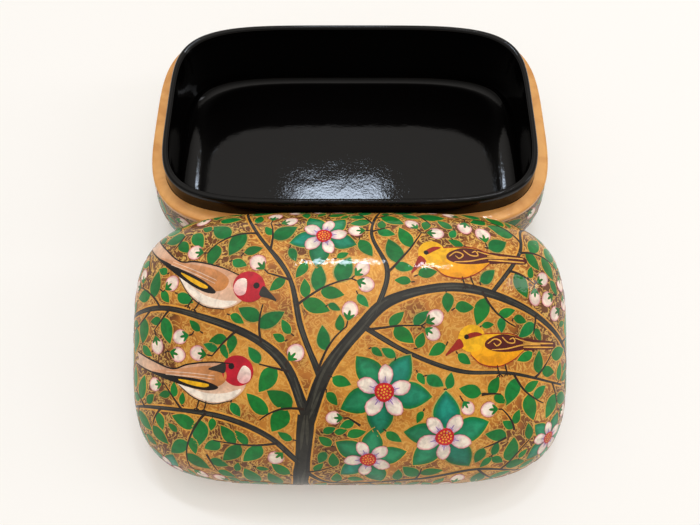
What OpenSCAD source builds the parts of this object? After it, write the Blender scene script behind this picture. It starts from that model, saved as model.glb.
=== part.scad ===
// Lacquered papier-mache box with a loose domed lid.
// The base stands on the table at the origin. The lid is off: its front edge lies on the
// table, and its back edge lies on the base's ledge, against the lip.

/* [Outline] */
// Length of the box at its ledge
box_length = 203; // [160:1:260]
// Width of the box at its ledge
box_width = 127; // [105:1:160]
// How square the ends of the outer outline are
end_squareness = 4.5; // [3.6:0.1:5.4]
// How square the long sides of the outer outline are
side_squareness = 3.6; // [3.2:0.1:4.2]
// How square the long sides of the lip and the linings are
lip_squareness = 4.6; // [4.2:0.1:5.2]

/* [Base] */
// Height of the ledge above the table
ledge_height = 46; // [40:1:60]
// Width of the ledge outside the lip
ledge_width = 7; // [6:0.5:9]
// Thickness of the strip that caps the wall
ledge_strip_height = 3; // [2:0.5:5]
// Bevel along the ledge's outer edge
ledge_bevel = 1; // [0.5:0.1:1.5]
// How far the wall bulges past the ledge
wall_bulge = 3; // [0:0.5:5]
// How far the wall draws in towards its foot
foot_draw = 4; // [0:0.5:6]
// Radius of the wall's bottom edge
foot_radius = 6; // [3:0.5:7]
// Width of the flange that carries the bottom board
foot_flange = 8; // [6:0.5:12]
// Thickness of the bottom board
bottom_thickness = 5; // [3:0.5:7]

/* [Tray] */
// Height of the lip above the ledge
lip_height = 10.5; // [6:0.5:14]
// Thickness of the tray's wall
tray_wall_thickness = 3.2; // [2.4:0.1:4.5]
// How far the lip leans in towards its top
lip_lean = 1; // [0.6:0.1:1.5]
// Thickness of the tray's floor
tray_floor_thickness = 6.5; // [4:0.5:8]
// How much wider the tray is at its floor than at its lip, on each side
tray_flare = 3.4; // [2:0.2:4]
// Radius of the cove between the tray's wall and its floor
cove_radius = 5; // [3:0.5:8]

/* [Lid] */
// Height of the lid from its rim to its crown
lid_height = 47; // [40:1:56]
// How steeply the lid's sides rise before they turn in
side_rise = 2.4; // [2:0.1:3]
// How flat the lid's crown is
crown_flatness = 2; // [1.8:0.1:2.8]
// Thickness of the lid's painted shell
lid_thickness = 4; // [3:0.5:5]
// Thickness of the lid's black lining
lining_thickness = 2; // [1.5:0.5:3]
// Thickness of the strip round the lid's rim
lid_strip_height = 3; // [2:0.5:5]

/* [Fits] */
// Gap between the lid's rim and the lip when the box is shut
lid_clearance = 0.5; // [0.4:0.1:1]
// Film of glue between the pieces of one half
glue_film = 0.15; // [0.1:0.05:0.3]
// Gap where the loose lid lies on the base and on the table
rest_gap = 0.25; // [0.2:0.05:0.4]

/* [Hidden] */

half_length = box_length / 2;
half_width = box_width / 2;
outline_points = 96;      // points round one ring of a shell
wall_steps = 8;           // rings up the bulged wall
turn_steps = 5;           // rings round a small arc
crown_steps = 13;         // rings from the lid's rim to its crown
lining_steps = 10;        // rings of the lid's lining

strip_base = ledge_height - ledge_strip_height;
lip_top = ledge_height + lip_height;
tray_floor_top = bottom_thickness + tray_floor_thickness;
tray_foot_inset = foot_flange_inset() + foot_flange;
tray_inner_inset = ledge_width + lip_lean + tray_wall_thickness;
cove_inset = tray_inner_inset - tray_flare + cove_radius;
lid_inner_inset = ledge_width - lid_clearance;
lining_inset = lid_inner_inset - lining_thickness;
lip_round = tray_wall_thickness / 2;

// The lid turns about its front edge until its rim clears the ledge's bevel and its
// back edge clears the lip. The angle is found by repeating one step of the sum.
lid_support = ledge_width - ledge_bevel - rest_gap;
lid_lean = leaned(20, 12);
lid_back_y = -(half_width - ledge_width) - rest_gap;
lid_centre_y = lid_back_y - half_width * cos(lid_lean);
lid_centre_z = rest_gap + half_width * sin(lid_lean);

black = [0.04, 0.035, 0.035];
gold = [0.87, 0.62, 0.33];
painted = [0.62, 0.48, 0.24];
board = [0.35, 0.27, 0.2];

function leaned(angle, steps) = steps == 0 ? angle : leaned(
    asin((ledge_height + rest_gap / cos(angle) - rest_gap + lid_support * tan(angle))
         / box_width), steps - 1);

// The wall meets the table this far inside the ledge's edge.
function foot_flange_inset() = foot_draw + foot_radius;

// One coordinate of a squared-off oval, with its sign kept.
function squared(value, power) = sign(value) * pow(abs(value), 2 / power);

// A closed ring of points at one height, counter-clockwise from above.
function ring(half_l, half_w, z, side = side_squareness) = [
    for (i = [0 : outline_points - 1])
        let (turn = 360 * i / outline_points)
        [half_l * squared(cos(turn), end_squareness), half_w * squared(sin(turn), side), z]
];

// A ring of the outer outline, and one of the lip's outline, drawn in by an inset.
function outer_ring(inset, z) = ring(half_length - inset, half_width - inset, z);
function lip_ring(inset, z) =
    ring(half_length - inset, half_width - inset, z, lip_squareness);

// Faces between two neighbouring rings, from the index of each ring's first point.
function band(low, high) = [
    for (i = [0 : outline_points - 1])
        let (next = (i + 1) % outline_points)
        each [[low + i, high + i, high + next], [low + i, high + next, low + next]]
];

function fan(ring_start, apex) = [
    for (i = [0 : outline_points - 1])
        [ring_start + i, apex, ring_start + (i + 1) % outline_points]
];

function turned(faces) = [for (face = faces) [face[0], face[2], face[1]]];

function all_points(rings) = [for (r = rings) each r];

// A tube-like solid through a closed series of rings: up the outside, down the inside.
module hoop(rings) {
    count = len(rings);
    polyhedron(
        points = all_points(rings),
        faces = [
            for (k = [0 : count - 1])
                each band(k * outline_points, ((k + 1) % count) * outline_points)
        ]
    );
}

// A bowl turned upside down: rings of its outside, rings of its inside, and the height
// of each crown. Both series run from the rim to the crown.
module bowl(outside, inside, crown_outside, crown_inside) {
    first_inside = len(outside) * outline_points;
    crown = (len(outside) + len(inside)) * outline_points;
    polyhedron(
        points = concat(all_points(outside), all_points(inside),
                        [[0, 0, crown_outside], [0, 0, crown_inside]]),
        faces = concat(
            [for (k = [0 : len(outside) - 2])
                each band(k * outline_points, (k + 1) * outline_points)],
            fan((len(outside) - 1) * outline_points, crown),
            [for (k = [0 : len(inside) - 2])
                each turned(band(first_inside + k * outline_points,
                                 first_inside + (k + 1) * outline_points))],
            turned(fan(first_inside + (len(inside) - 1) * outline_points, crown + 1)),
            turned(band(0, first_inside))
        )
    );
}

// How far inside the ledge's edge the wall's face lies at a height: it bulges out at
// mid-height, draws in below, and rounds under at its bottom edge.
function wall_inset(z) =
    let (depth = 1 - z / strip_base,
         under = max(0, 1 - z / foot_radius))
    foot_draw * pow(depth, 4) - wall_bulge * 4 * depth * (1 - depth)
    + foot_radius * (1 - sqrt(1 - under * under));

// Heights of the wall's rings: close together round the bottom edge.
function wall_heights() = concat(
    [for (k = [0 : turn_steps - 1]) foot_radius * (1 - cos(90 * k / turn_steps))],
    [for (k = [0 : wall_steps])
        foot_radius + (strip_base - foot_radius) * k / wall_steps]
);

module base_shell() {
    color(painted)
    hoop(concat(
        [for (z = wall_heights()) outer_ring(wall_inset(z), z)],
        [
            lip_ring(ledge_width - glue_film, strip_base),
            lip_ring(ledge_width - glue_film - tray_flare, bottom_thickness),
            lip_ring(tray_foot_inset, bottom_thickness),
            lip_ring(tray_foot_inset, 0)
        ]
    ));
}

module flat_plate(inset, low, thickness) {
    translate([0, 0, low])
    linear_extrude(thickness)
    polygon([for (p = lip_ring(inset, 0)) [p[0], p[1]]]);
}

module bottom_board() {
    color(board)
    flat_plate(tray_foot_inset + glue_film, 0, bottom_thickness);
}

module ledge_strip() {
    color(gold)
    hoop([
        outer_ring(0, strip_base),
        outer_ring(0, ledge_height - ledge_bevel),
        outer_ring(ledge_bevel * 0.3, ledge_height - ledge_bevel * 0.3),
        outer_ring(ledge_bevel, ledge_height),
        lip_ring(ledge_width - glue_film, ledge_height),
        lip_ring(ledge_width - glue_film, strip_base)
    ]);
}

module tray_wall() {
    lip_middle = ledge_width + lip_lean + lip_round;
    color(black)
    hoop(concat(
        [
            lip_ring(ledge_width - tray_flare, bottom_thickness),
            lip_ring(ledge_width, strip_base),
            lip_ring(ledge_width, ledge_height)
        ],
        [for (k = [0 : turn_steps + 1])
            let (turn = 180 * k / (turn_steps + 1))
            lip_ring(lip_middle - lip_round * cos(turn),
                     lip_top - lip_round + lip_round * sin(turn))],
        [for (k = [0 : turn_steps])
            let (turn = 90 * k / turn_steps)
            lip_ring(cove_inset - cove_radius * cos(turn),
                     tray_floor_top + cove_radius * (1 - sin(turn)))],
        [lip_ring(cove_inset, bottom_thickness)]
    ));
}

module tray_floor() {
    color(black)
    flat_plate(cove_inset + glue_film, bottom_thickness, tray_floor_thickness);
}

// A ring of the lid's dome, from its rim at 0 degrees to its crown at 90.
function dome_ring(turn, inset, low, top, side) =
    let (reach = pow(cos(turn), 2 / crown_flatness),
         rise = pow(sin(turn), 2 / side_rise))
    ring((half_length - inset) * reach, (half_width - inset) * reach,
         low + (top - low) * rise, side);

function dome_rings(inset, low, top, steps, side) = [
    for (k = [0 : steps - 1])
        dome_ring(90 * k / steps, inset, low, top, side)
];

// Puts what is drawn with its rim on the ground where the leaning lid lies.
module on_lid() {
    translate([0, lid_centre_y, lid_centre_z])
    rotate([lid_lean, 0, 0])
    children();
}

module lid_shell() {
    inner_top = lid_height - lid_thickness;
    color(painted)
    on_lid()
    bowl(
        dome_rings(0, lid_strip_height, lid_height, crown_steps, side_squareness),
        dome_rings(lining_inset, lid_strip_height, inner_top, crown_steps, lip_squareness),
        lid_height, inner_top
    );
}

module lid_rim_strip() {
    color(gold)
    on_lid()
    hoop([
        outer_ring(0, 0),
        outer_ring(0, lid_strip_height),
        lip_ring(lid_inner_inset, lid_strip_height),
        lip_ring(lid_inner_inset, 0)
    ]);
}

module lid_lining() {
    outer_top = lid_height - lid_thickness - glue_film;
    inner_top = outer_top - lining_thickness;
    color(black)
    on_lid()
    bowl(
        dome_rings(lining_inset + glue_film, lid_strip_height, outer_top,
                   lining_steps, lip_squareness),
        dome_rings(lid_inner_inset, lid_strip_height, inner_top,
                   lining_steps, lip_squareness),
        outer_top, inner_top
    );
}

base_shell();
bottom_board();
ledge_strip();
tray_wall();
tray_floor();
lid_shell();
lid_rim_strip();
lid_lining();
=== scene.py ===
"""Looks of a lacquered papier-mache box whose painted lid leans on its black-lined base.

Lengths are in millimetres until a mesh is made. The painting is planned on flat sheets,
one unrolled from the lid's dome and one from the base's wall, and is wrapped round them.
"""
import logging
import math
import random
from dataclasses import dataclass, field
from enum import Enum

import bpy
import numpy as np
from bpy.types import Material, Mesh, Node, NodeSocket, NodeTree, Object
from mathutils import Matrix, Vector
from mathutils.geometry import delaunay_2d_cdt


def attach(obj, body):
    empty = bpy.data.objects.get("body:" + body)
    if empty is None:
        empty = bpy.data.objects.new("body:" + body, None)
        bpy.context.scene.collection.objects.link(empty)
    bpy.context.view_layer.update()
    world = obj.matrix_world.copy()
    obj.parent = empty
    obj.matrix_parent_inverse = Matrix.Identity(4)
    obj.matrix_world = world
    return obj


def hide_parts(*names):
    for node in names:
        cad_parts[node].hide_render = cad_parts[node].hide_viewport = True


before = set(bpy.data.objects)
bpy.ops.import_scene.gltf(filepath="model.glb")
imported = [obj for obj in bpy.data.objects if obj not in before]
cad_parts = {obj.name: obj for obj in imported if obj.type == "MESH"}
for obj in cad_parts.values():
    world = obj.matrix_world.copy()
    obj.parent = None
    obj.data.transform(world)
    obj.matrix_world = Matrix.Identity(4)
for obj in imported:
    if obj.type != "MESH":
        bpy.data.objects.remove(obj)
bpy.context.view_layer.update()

LOG = logging.getLogger("papier_mache_box")
MM = 0.001
QUARTER = math.pi / 2
TURN = 2 * math.pi


class Body(Enum):
    """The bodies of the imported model."""

    BASE = "base"
    LID = "lid"


class Hue(Enum):
    """Paints of the decoration, as sRGB hex."""

    BARK = "#2D2B26"
    BARK_LIGHT = "#444239"
    BARK_DARK = "#1E1C1A"
    TWIG = "#2E2018"
    HALO = "#E09C3C"
    LEAF = "#10762A"
    LEAF_TEAL = "#0A7346"
    LEAF_SHINE = "#23895A"
    CREAM = "#FBEBD8"
    PINK = "#EDA9A8"
    RIM = "#8A3440"
    LILAC = "#C49CC2"
    VIOLET = "#A27FB4"
    RED = "#CE1F26"
    STAMEN = "#F2A23A"
    CRIMSON = "#C0142A"
    BUFF = "#DDA27C"
    BUFF_PALE = "#EBC8AC"
    RUST = "#C9803F"
    BLACK = "#17110F"
    YELLOW = "#F7B818"
    ORIOLE = "#F39A0A"
    MAROON = "#571C16"
    SCROLL = "#E8A845"
    BEAK = "#A02618"


def linear(hex_colour: str) -> tuple[float, float, float, float]:
    """Turns an sRGB hex colour into linear light.

    Args:
        hex_colour: A colour such as "#F8E6CF".

    Returns:
        Its red, green and blue in linear light, and an alpha of 1.
    """
    parts = [int(hex_colour[i:i + 2], 16) / 255 for i in (1, 3, 5)]
    light = [p / 12.92 if p <= 0.04045 else ((p + 0.055) / 1.055) ** 2.4 for p in parts]
    return (*light, 1.0)


def add_node(tree: NodeTree, kind: str, inputs: dict | None = None,
             **settings: object) -> Node:
    """Adds a node with its settings, constants and links.

    Args:
        tree: The node tree that gets the node.
        kind: The node's type name.
        inputs: Socket name or index to a constant, or to the socket that feeds it.
        **settings: Properties of the node itself.

    Returns:
        The new node.
    """
    node = tree.nodes.new(kind)
    for name, value in settings.items():
        setattr(node, name, value)
    for key, value in (inputs or {}).items():
        if isinstance(value, NodeSocket):
            tree.links.new(value, node.inputs[key])
        else:
            node.inputs[key].default_value = value
    return node


# The shapes that everything follows


@dataclass(frozen=True)
class SquaredOval:
    """An outline |x/a|^n + |y/b|^m = 1, in millimetres."""

    half_length: float = 101.5
    half_width: float = 63.5
    end_squareness: float = 4.5
    side_squareness: float = 3.6

    def inset(self, by: float) -> "SquaredOval":
        """Returns the same kind of outline, drawn in by a distance."""
        return SquaredOval(self.half_length - by, self.half_width - by,
                           self.end_squareness, self.side_squareness)

    def at(self, turn: np.ndarray) -> tuple[np.ndarray, np.ndarray]:
        """Gives points on the outline.

        Args:
            turn: Angles in radians, as the source of the solids uses them.

        Returns:
            The x and the y of each point.
        """
        c, s = np.cos(turn), np.sin(turn)
        x = self.half_length * np.sign(c) * np.abs(c) ** (2 / self.end_squareness)
        y = self.half_width * np.sign(s) * np.abs(s) ** (2 / self.side_squareness)
        return x, y

    def reach(self, c: np.ndarray, s: np.ndarray) -> np.ndarray:
        """Finds the outline's distance from the centre along each direction.

        Args:
            c: Cosine of each direction.
            s: Sine of each direction.

        Returns:
            The distance to the outline in each direction.
        """
        n, m = self.end_squareness, self.side_squareness
        along = np.abs(c / self.half_length) ** n
        across = np.abs(s / self.half_width) ** m
        radius = 1 / np.maximum(np.abs(c) / self.half_length, np.abs(s) / self.half_width)
        for _ in range(25):
            miss = along * radius ** n + across * radius ** m - 1
            slope = n * along * radius ** (n - 1) + m * across * radius ** (m - 1)
            radius = radius - miss / slope
        return radius

    def normal(self, x: np.ndarray, y: np.ndarray) -> tuple[np.ndarray, np.ndarray]:
        """Gives the outward direction, not made unit length, at points on the outline."""
        n, m = self.end_squareness, self.side_squareness
        gx = n / self.half_length * np.sign(x) * np.abs(x / self.half_length) ** (n - 1)
        gy = m / self.half_width * np.sign(y) * np.abs(y / self.half_width) ** (m - 1)
        return gx, gy


@dataclass(frozen=True)
class BoxForm:
    """Driving sizes of the box, the same as those of its solids."""

    outline: SquaredOval = SquaredOval()
    lip_squareness: float = 4.6
    ledge_height: float = 46
    ledge_width: float = 7
    ledge_strip_height: float = 3
    ledge_bevel: float = 1
    wall_bulge: float = 3
    foot_draw: float = 4
    foot_radius: float = 6
    foot_flange: float = 8
    bottom_thickness: float = 5
    lip_height: float = 10.5
    tray_wall_thickness: float = 3.2
    lip_lean: float = 1
    tray_floor_thickness: float = 6.5
    tray_flare: float = 3.4
    cove_radius: float = 5
    lid_height: float = 47
    side_rise: float = 2.4
    crown_flatness: float = 2.0
    lid_thickness: float = 4
    lining_thickness: float = 2
    lid_strip_height: float = 3
    lid_clearance: float = 0.5
    glue_film: float = 0.15
    rest_gap: float = 0.25

    @property
    def lip_outline(self) -> SquaredOval:
        """The squarer outline that the lip and the linings follow."""
        o = self.outline
        return SquaredOval(o.half_length, o.half_width, o.end_squareness, self.lip_squareness)

    @property
    def strip_base(self) -> float:
        """Height of the underside of the ledge's strip."""
        return self.ledge_height - self.ledge_strip_height

    def lean(self) -> float:
        """Finds the angle at which the lid's rim just clears the ledge's bevel.

        Returns:
            The angle in radians.
        """
        angle = math.radians(20)
        support = self.ledge_width - self.ledge_bevel - self.rest_gap
        for _ in range(12):
            rise = (self.ledge_height + self.rest_gap / math.cos(angle) - self.rest_gap
                    + support * math.tan(angle))
            angle = math.asin(rise / (2 * self.outline.half_width))
        return angle

    def wall_inset(self, z: np.ndarray) -> np.ndarray:
        """Says how far inside the ledge's edge the wall's face lies at each height."""
        depth = 1 - z / self.strip_base
        under = np.maximum(0, 1 - z / self.foot_radius)
        return (self.foot_draw * depth ** 4 - self.wall_bulge * 4 * depth * (1 - depth)
                + self.foot_radius * (1 - np.sqrt(1 - under * under)))


FORM = BoxForm()
# The painted skins lie this far under the solids' faces, so that the paint fits on top
SINK = 0.35


@dataclass(frozen=True)
class LidPlace:
    """Where the leaning lid lies: it turns about X and is then moved."""

    angle: float
    centre_y: float
    centre_z: float

    @staticmethod
    def of(form: BoxForm) -> "LidPlace":
        """Works out the place from the box's sizes."""
        angle = form.lean()
        half = form.outline.half_width
        back = -(half - form.ledge_width) - form.rest_gap
        return LidPlace(angle, back - half * math.cos(angle),
                        form.rest_gap + half * math.sin(angle))

    def turned(self, vectors: np.ndarray) -> np.ndarray:
        """Turns vectors from the lid's own frame to the box's."""
        c, s = math.cos(self.angle), math.sin(self.angle)
        x, y, z = vectors.T
        return np.stack([x, y * c - z * s, y * s + z * c], axis=1)

    def placed(self, points: np.ndarray) -> np.ndarray:
        """Moves points from the lid's own frame to the box's."""
        return self.turned(points) + np.array([0, self.centre_y, self.centre_z])


PLACE = LidPlace.of(FORM)


class Sheet:
    """A flat sheet of paint, in millimetres, that wraps round a face of the box."""

    body: Body

    def wrap(self, flat: np.ndarray) -> tuple[np.ndarray, np.ndarray]:
        """Wraps points of the sheet.

        Args:
            flat: Rows of two places on the sheet and a height above it.

        Returns:
            The points in the box's frame and the outward unit normals there.
        """
        raise NotImplementedError

    def holds(self, points: np.ndarray, margin: float) -> np.ndarray:
        """Says which points lie on the sheet, at least a margin from its edge."""
        raise NotImplementedError


class DomeSheet(Sheet):
    """The lid's dome unrolled: a distance from the crown is the distance over the dome."""

    body = Body.LID
    STEPS = 400

    def __init__(self, form: BoxForm, place: LidPlace) -> None:
        """Tabulates the distance over the dome for outlines of every reach.

        Args:
            form: Sizes of the box.
            place: Where the lid lies.
        """
        self.form = form
        self.outline = form.outline.inset(SINK)
        self.place = place
        self.climb = np.linspace(QUARTER, 0, self.STEPS)
        shrink, height = self.profile(self.climb)
        corner = math.hypot(form.outline.half_length, form.outline.half_width)
        self.radii = np.linspace(form.outline.half_width * 0.99, corner, 40)
        self.over = [
            np.concatenate([[0], np.cumsum(np.hypot(r * np.diff(shrink), np.diff(height)))])
            for r in self.radii
        ]

    def profile(self, climb: np.ndarray) -> tuple[np.ndarray, np.ndarray]:
        """Gives the dome's section.

        Args:
            climb: Angles, from the rim at 0 to the crown at a quarter turn.

        Returns:
            The share of the outline and the height at each angle.
        """
        form = self.form
        shrink = np.cos(climb) ** (2 / form.crown_flatness)
        rise = np.abs(np.sin(climb)) ** (2 / form.side_rise)
        low = form.lid_strip_height
        return shrink, low + (form.lid_height - SINK - low) * rise

    def edge(self, c: np.ndarray, s: np.ndarray) -> np.ndarray:
        """Gives the unrolled distance from the crown to the rim along directions."""
        reach = self.outline.reach(c, s)
        ends = np.array([table[-1] for table in self.over])
        return np.interp(reach, self.radii, ends)

    def holds(self, points: np.ndarray, margin: float) -> np.ndarray:
        """Says which points lie on the dome, at least a margin from its rim."""
        r = np.maximum(np.hypot(points[:, 0], points[:, 1]), 1e-6)
        return r < self.edge(points[:, 0] / r, points[:, 1] / r) - margin

    def wrap(self, flat: np.ndarray) -> tuple[np.ndarray, np.ndarray]:
        """Wraps points of the sheet over the dome; see Sheet.wrap."""
        r = np.maximum(np.hypot(flat[:, 0], flat[:, 1]), 1e-6)
        c, s = flat[:, 0] / r, flat[:, 1] / r
        outline = self.outline
        reach = outline.reach(c, s)
        share = np.interp(reach, self.radii, np.arange(len(self.radii)))
        climb = np.empty_like(r)
        for k in range(len(self.radii) - 1):
            mine = (share >= k) & ((share < k + 1) | (k == len(self.radii) - 2))
            near = np.interp(r[mine], self.over[k], self.climb)
            far = np.interp(r[mine], self.over[k + 1], self.climb)
            climb[mine] = near + (far - near) * (share[mine] - k)
        climb = np.clip(climb, 0.004, QUARTER - 1e-5)
        shrink, height = self.profile(climb)
        step = 1e-5
        shrink_on, height_on = self.profile(climb + step)
        x, y = reach * c, reach * s
        gx, gy = outline.normal(x, y)
        rise = (height_on - height) / step
        draw = (shrink_on - shrink) / step
        normal = np.stack([gx * rise, gy * rise, -draw * (gx * x + gy * y)], axis=1)
        normal /= np.linalg.norm(normal, axis=1)[:, None]
        point = np.stack([x * shrink, y * shrink, height], axis=1)
        point = point + normal * flat[:, 2:3]
        return self.place.placed(point), self.place.turned(normal)


class WallSheet(Sheet):
    """The base's wall unrolled: along the ledge from the middle of the front, and up."""

    body = Body.BASE
    STEPS = 1440

    def __init__(self, form: BoxForm) -> None:
        """Tabulates the way round the wall.

        Args:
            form: Sizes of the box.
        """
        self.form = form
        self.turn = np.linspace(-QUARTER, -QUARTER + TURN, self.STEPS + 1)
        x, y = form.outline.at(self.turn)
        self.way = np.concatenate([[0], np.cumsum(np.hypot(np.diff(x), np.diff(y)))])
        self.length = float(self.way[-1])

    def holds(self, points: np.ndarray, margin: float) -> np.ndarray:
        """Says which points lie on the wall, at least a margin from its edges."""
        top = self.form.strip_base
        return (points[:, 1] > margin * 0.3) & (points[:, 1] < top - margin * 0.4)

    def at(self, way: np.ndarray, up: np.ndarray) -> np.ndarray:
        """Gives points on the wall's face."""
        turn = np.interp(way % self.length, self.way, self.turn)
        up = np.clip(up, 0.35, self.form.strip_base)
        x, y = self.form.outline.inset(self.form.wall_inset(up) + SINK).at(turn)
        return np.stack([x, y, up], axis=1)

    def wrap(self, flat: np.ndarray) -> tuple[np.ndarray, np.ndarray]:
        """Wraps points of the sheet round the wall; see Sheet.wrap."""
        point = self.at(flat[:, 0], flat[:, 1])
        step = 0.05
        up = np.clip(flat[:, 1], 0.35, self.form.strip_base - step)
        along = self.at(flat[:, 0] + step, up) - self.at(flat[:, 0] - step, up)
        rise = self.at(flat[:, 0], up + step) - self.at(flat[:, 0], up)
        normal = np.cross(along, rise)
        normal /= np.linalg.norm(normal, axis=1)[:, None]
        return point + normal * flat[:, 2:3], normal


# Finishes


@dataclass(frozen=True)
class Lacquer:
    """Clear varnish rubbed over the paint: a smooth coat with a faint orange peel."""

    coat: float = 0.6
    roughness: float = 0.015
    ior: float = 1.42
    peel_mm: float = 2.2
    peel_depth: float = 0.035
    under_specular: float = 0.12
    paint_relief: float = 0.25
    paint_thickness: float = 0.1

    def shade(self, tree: NodeTree, place: NodeSocket,
              colour: NodeSocket, relief: NodeSocket,
              roughness: float = 0.5, metallic: float = 0.0) -> None:
        """Ends a material with the paint's colour under this varnish.

        Args:
            tree: The material's node tree.
            place: The piece's own coordinates.
            colour: The paint's colour.
            relief: A height for the paint's own relief.
            roughness: Roughness of the paint itself.
            metallic: How metallic the paint itself is.
        """
        peel = add_node(tree, "ShaderNodeTexNoise", {
            "Vector": place, "Scale": 1 / (self.peel_mm * MM), "Detail": 2.0})
        coat_bump = add_node(tree, "ShaderNodeBump", {
            "Strength": self.peel_depth, "Distance": self.peel_mm * MM,
            "Height": peel.outputs[0]})
        bump = add_node(tree, "ShaderNodeBump", {
            "Strength": self.paint_relief, "Distance": self.paint_thickness * MM,
            "Height": relief})
        skin = add_node(tree, "ShaderNodeBsdfPrincipled", {
            "Base Color": colour, "Roughness": roughness, "Metallic": metallic,
            "Normal": bump.outputs["Normal"], "Specular IOR Level": self.under_specular,
            "Coat Weight": self.coat, "Coat Roughness": self.roughness,
            "Coat IOR": self.ior, "Coat Normal": coat_bump.outputs["Normal"]})
        add_node(tree, "ShaderNodeOutputMaterial", {"Surface": skin.outputs["BSDF"]})


LACQUER = Lacquer()


def new_material(name: str) -> tuple[Material, NodeTree,
                                     NodeSocket]:
    """Makes an empty node material.

    Args:
        name: Name of the material.

    Returns:
        The material, its node tree and the piece's own coordinates in it.
    """
    material = bpy.data.materials.new(name)
    material.use_nodes = True
    tree = material.node_tree
    tree.nodes.clear()
    return material, tree, add_node(tree, "ShaderNodeTexCoord").outputs["Object"]


@dataclass(frozen=True)
class GoldGround:
    """Ground of the painting: bronze paint with strokes of lighter gold on brown.

    Levels are where the patches turn from brown to middle to bright. Where a place is
    given, the ground turns browner and busier away from its middle.
    """

    name: str
    bright: str = "#DC9639"
    middle: str = "#B8702A"
    brown: str = "#6C3D1A"
    stroke: str = "#F2C062"
    levels: tuple[float, float, float] = (0.46, 0.55, 0.7)
    stroke_mm: float = 3.4
    patch_mm: float = 30.0
    place: LidPlace | None = None

    def outward(self, tree: NodeTree,
                place: NodeSocket) -> NodeSocket | float:
        """Gives 0 over the middle of the lid and 1 at its edge, or 1 without a place.

        Args:
            tree: The material's node tree.
            place: The piece's own coordinates.

        Returns:
            The way outward.
        """
        if self.place is None:
            return 1.0
        centred = add_node(tree, "ShaderNodeMapping", {
            "Vector": place, "Rotation": (self.place.angle, 0.0, 0.0),
            "Location": (0.0, self.place.centre_y * MM, self.place.centre_z * MM),
            "Scale": (FORM.outline.half_length * MM, FORM.outline.half_width * MM, 1.0)},
            vector_type="TEXTURE")
        reach = add_node(tree, "ShaderNodeVectorMath", {0: centred.outputs[0]},
                         operation="LENGTH")
        return add_node(tree, "ShaderNodeMapRange", {
            "Value": reach.outputs["Value"], "From Min": 0.45, "From Max": 1.0},
            interpolation_type="SMOOTHSTEP").outputs["Result"]

    def build(self) -> Material:
        """Builds the material.

        Returns:
            The material.
        """
        material, tree, place = new_material(self.name)
        outward = self.outward(tree, place)
        patches = add_node(tree, "ShaderNodeTexNoise", {
            "Vector": place, "Scale": 1 / (self.patch_mm * MM), "Detail": 3.0,
            "Roughness": 0.55})
        shift, most, deepest = (
            add_node(tree, "ShaderNodeMath", {0: outward, 1: gain, 2: start},
                     operation="MULTIPLY_ADD").outputs[0]
            for gain, start in ((-0.2, 0.14), (0.35, 0.5), (0.3, 0.2)))
        level = add_node(tree, "ShaderNodeMath", {
            0: patches.outputs[0], 1: shift}, operation="ADD")
        tone = add_node(tree, "ShaderNodeValToRGB", {"Fac": level.outputs[0]})
        stops = tone.color_ramp.elements
        stops[0].position, stops[0].color = self.levels[0], linear(self.brown)
        stops[1].position, stops[1].color = self.levels[2], linear(self.bright)
        middle = stops.new(self.levels[1])
        middle.color = linear(self.middle)
        squiggle = add_node(tree, "ShaderNodeTexNoise", {
            "Vector": place, "Scale": 1 / (self.stroke_mm * MM), "Detail": 2.0,
            "Distortion": 1.2})
        centred = add_node(tree, "ShaderNodeMath", {
            0: squiggle.outputs[0], 1: 0.5}, operation="SUBTRACT")
        ridge = add_node(tree, "ShaderNodeMath", {0: centred.outputs[0]},
                         operation="ABSOLUTE")
        line = add_node(tree, "ShaderNodeMapRange", {
            "Value": ridge.outputs[0], "From Min": 0.015, "From Max": 0.06,
            "To Min": most, "To Max": 0.0})
        lit = add_node(tree, "ShaderNodeMix", {
            "Factor": line.outputs["Result"], 6: tone.outputs["Color"],
            7: linear(self.stroke)}, data_type="RGBA")
        dark_line = add_node(tree, "ShaderNodeMapRange", {
            "Value": squiggle.outputs[0], "From Min": 0.58, "From Max": 0.68,
            "To Min": 0.0, "To Max": deepest})
        worn = add_node(tree, "ShaderNodeMix", {
            "Factor": dark_line.outputs["Result"], 6: lit.outputs[2],
            7: linear(self.brown)}, data_type="RGBA")
        LACQUER.shade(tree, place, worn.outputs[2], roughness=0.42, metallic=0.12,
                      relief=squiggle.outputs[0])
        return material


@dataclass(frozen=True)
class Tempera:
    """Opaque water paint laid on by brush, its colour kept on the mesh."""

    name: str
    streak_mm: float = 0.9
    streak: float = 0.08
    dab_mm: float = 4.5
    dab: float = 0.16

    def build(self) -> Material:
        """Builds the material, which reads the colours in the attribute paint.

        Returns:
            The material.
        """
        material, tree, place = new_material(self.name)
        paint = add_node(tree, "ShaderNodeAttribute", attribute_name="paint")
        strokes = add_node(tree, "ShaderNodeTexNoise", {
            "Vector": place, "Scale": 1 / (self.streak_mm * MM), "Detail": 3.0})
        shift = add_node(tree, "ShaderNodeMapRange", {
            "Value": strokes.outputs[0], "From Min": 0.3, "From Max": 0.7,
            "To Min": 1 - self.streak, "To Max": 1 + self.streak})
        dabs = add_node(tree, "ShaderNodeTexNoise", {
            "Vector": place, "Scale": 1 / (self.dab_mm * MM), "Detail": 1.0,
            "Distortion": 1.0})
        thin = add_node(tree, "ShaderNodeMapRange", {
            "Value": dabs.outputs[0], "From Min": 0.35, "From Max": 0.65,
            "To Min": 1 - self.dab, "To Max": 1 + self.dab})
        both = add_node(tree, "ShaderNodeMath", {
            0: shift.outputs["Result"], 1: thin.outputs["Result"]}, operation="MULTIPLY")
        toned = add_node(tree, "ShaderNodeVectorMath", {
            0: paint.outputs["Color"], "Scale": both.outputs[0]}, operation="SCALE")
        LACQUER.shade(tree, place, toned.outputs["Vector"], relief=strokes.outputs[0])
        return material


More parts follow.
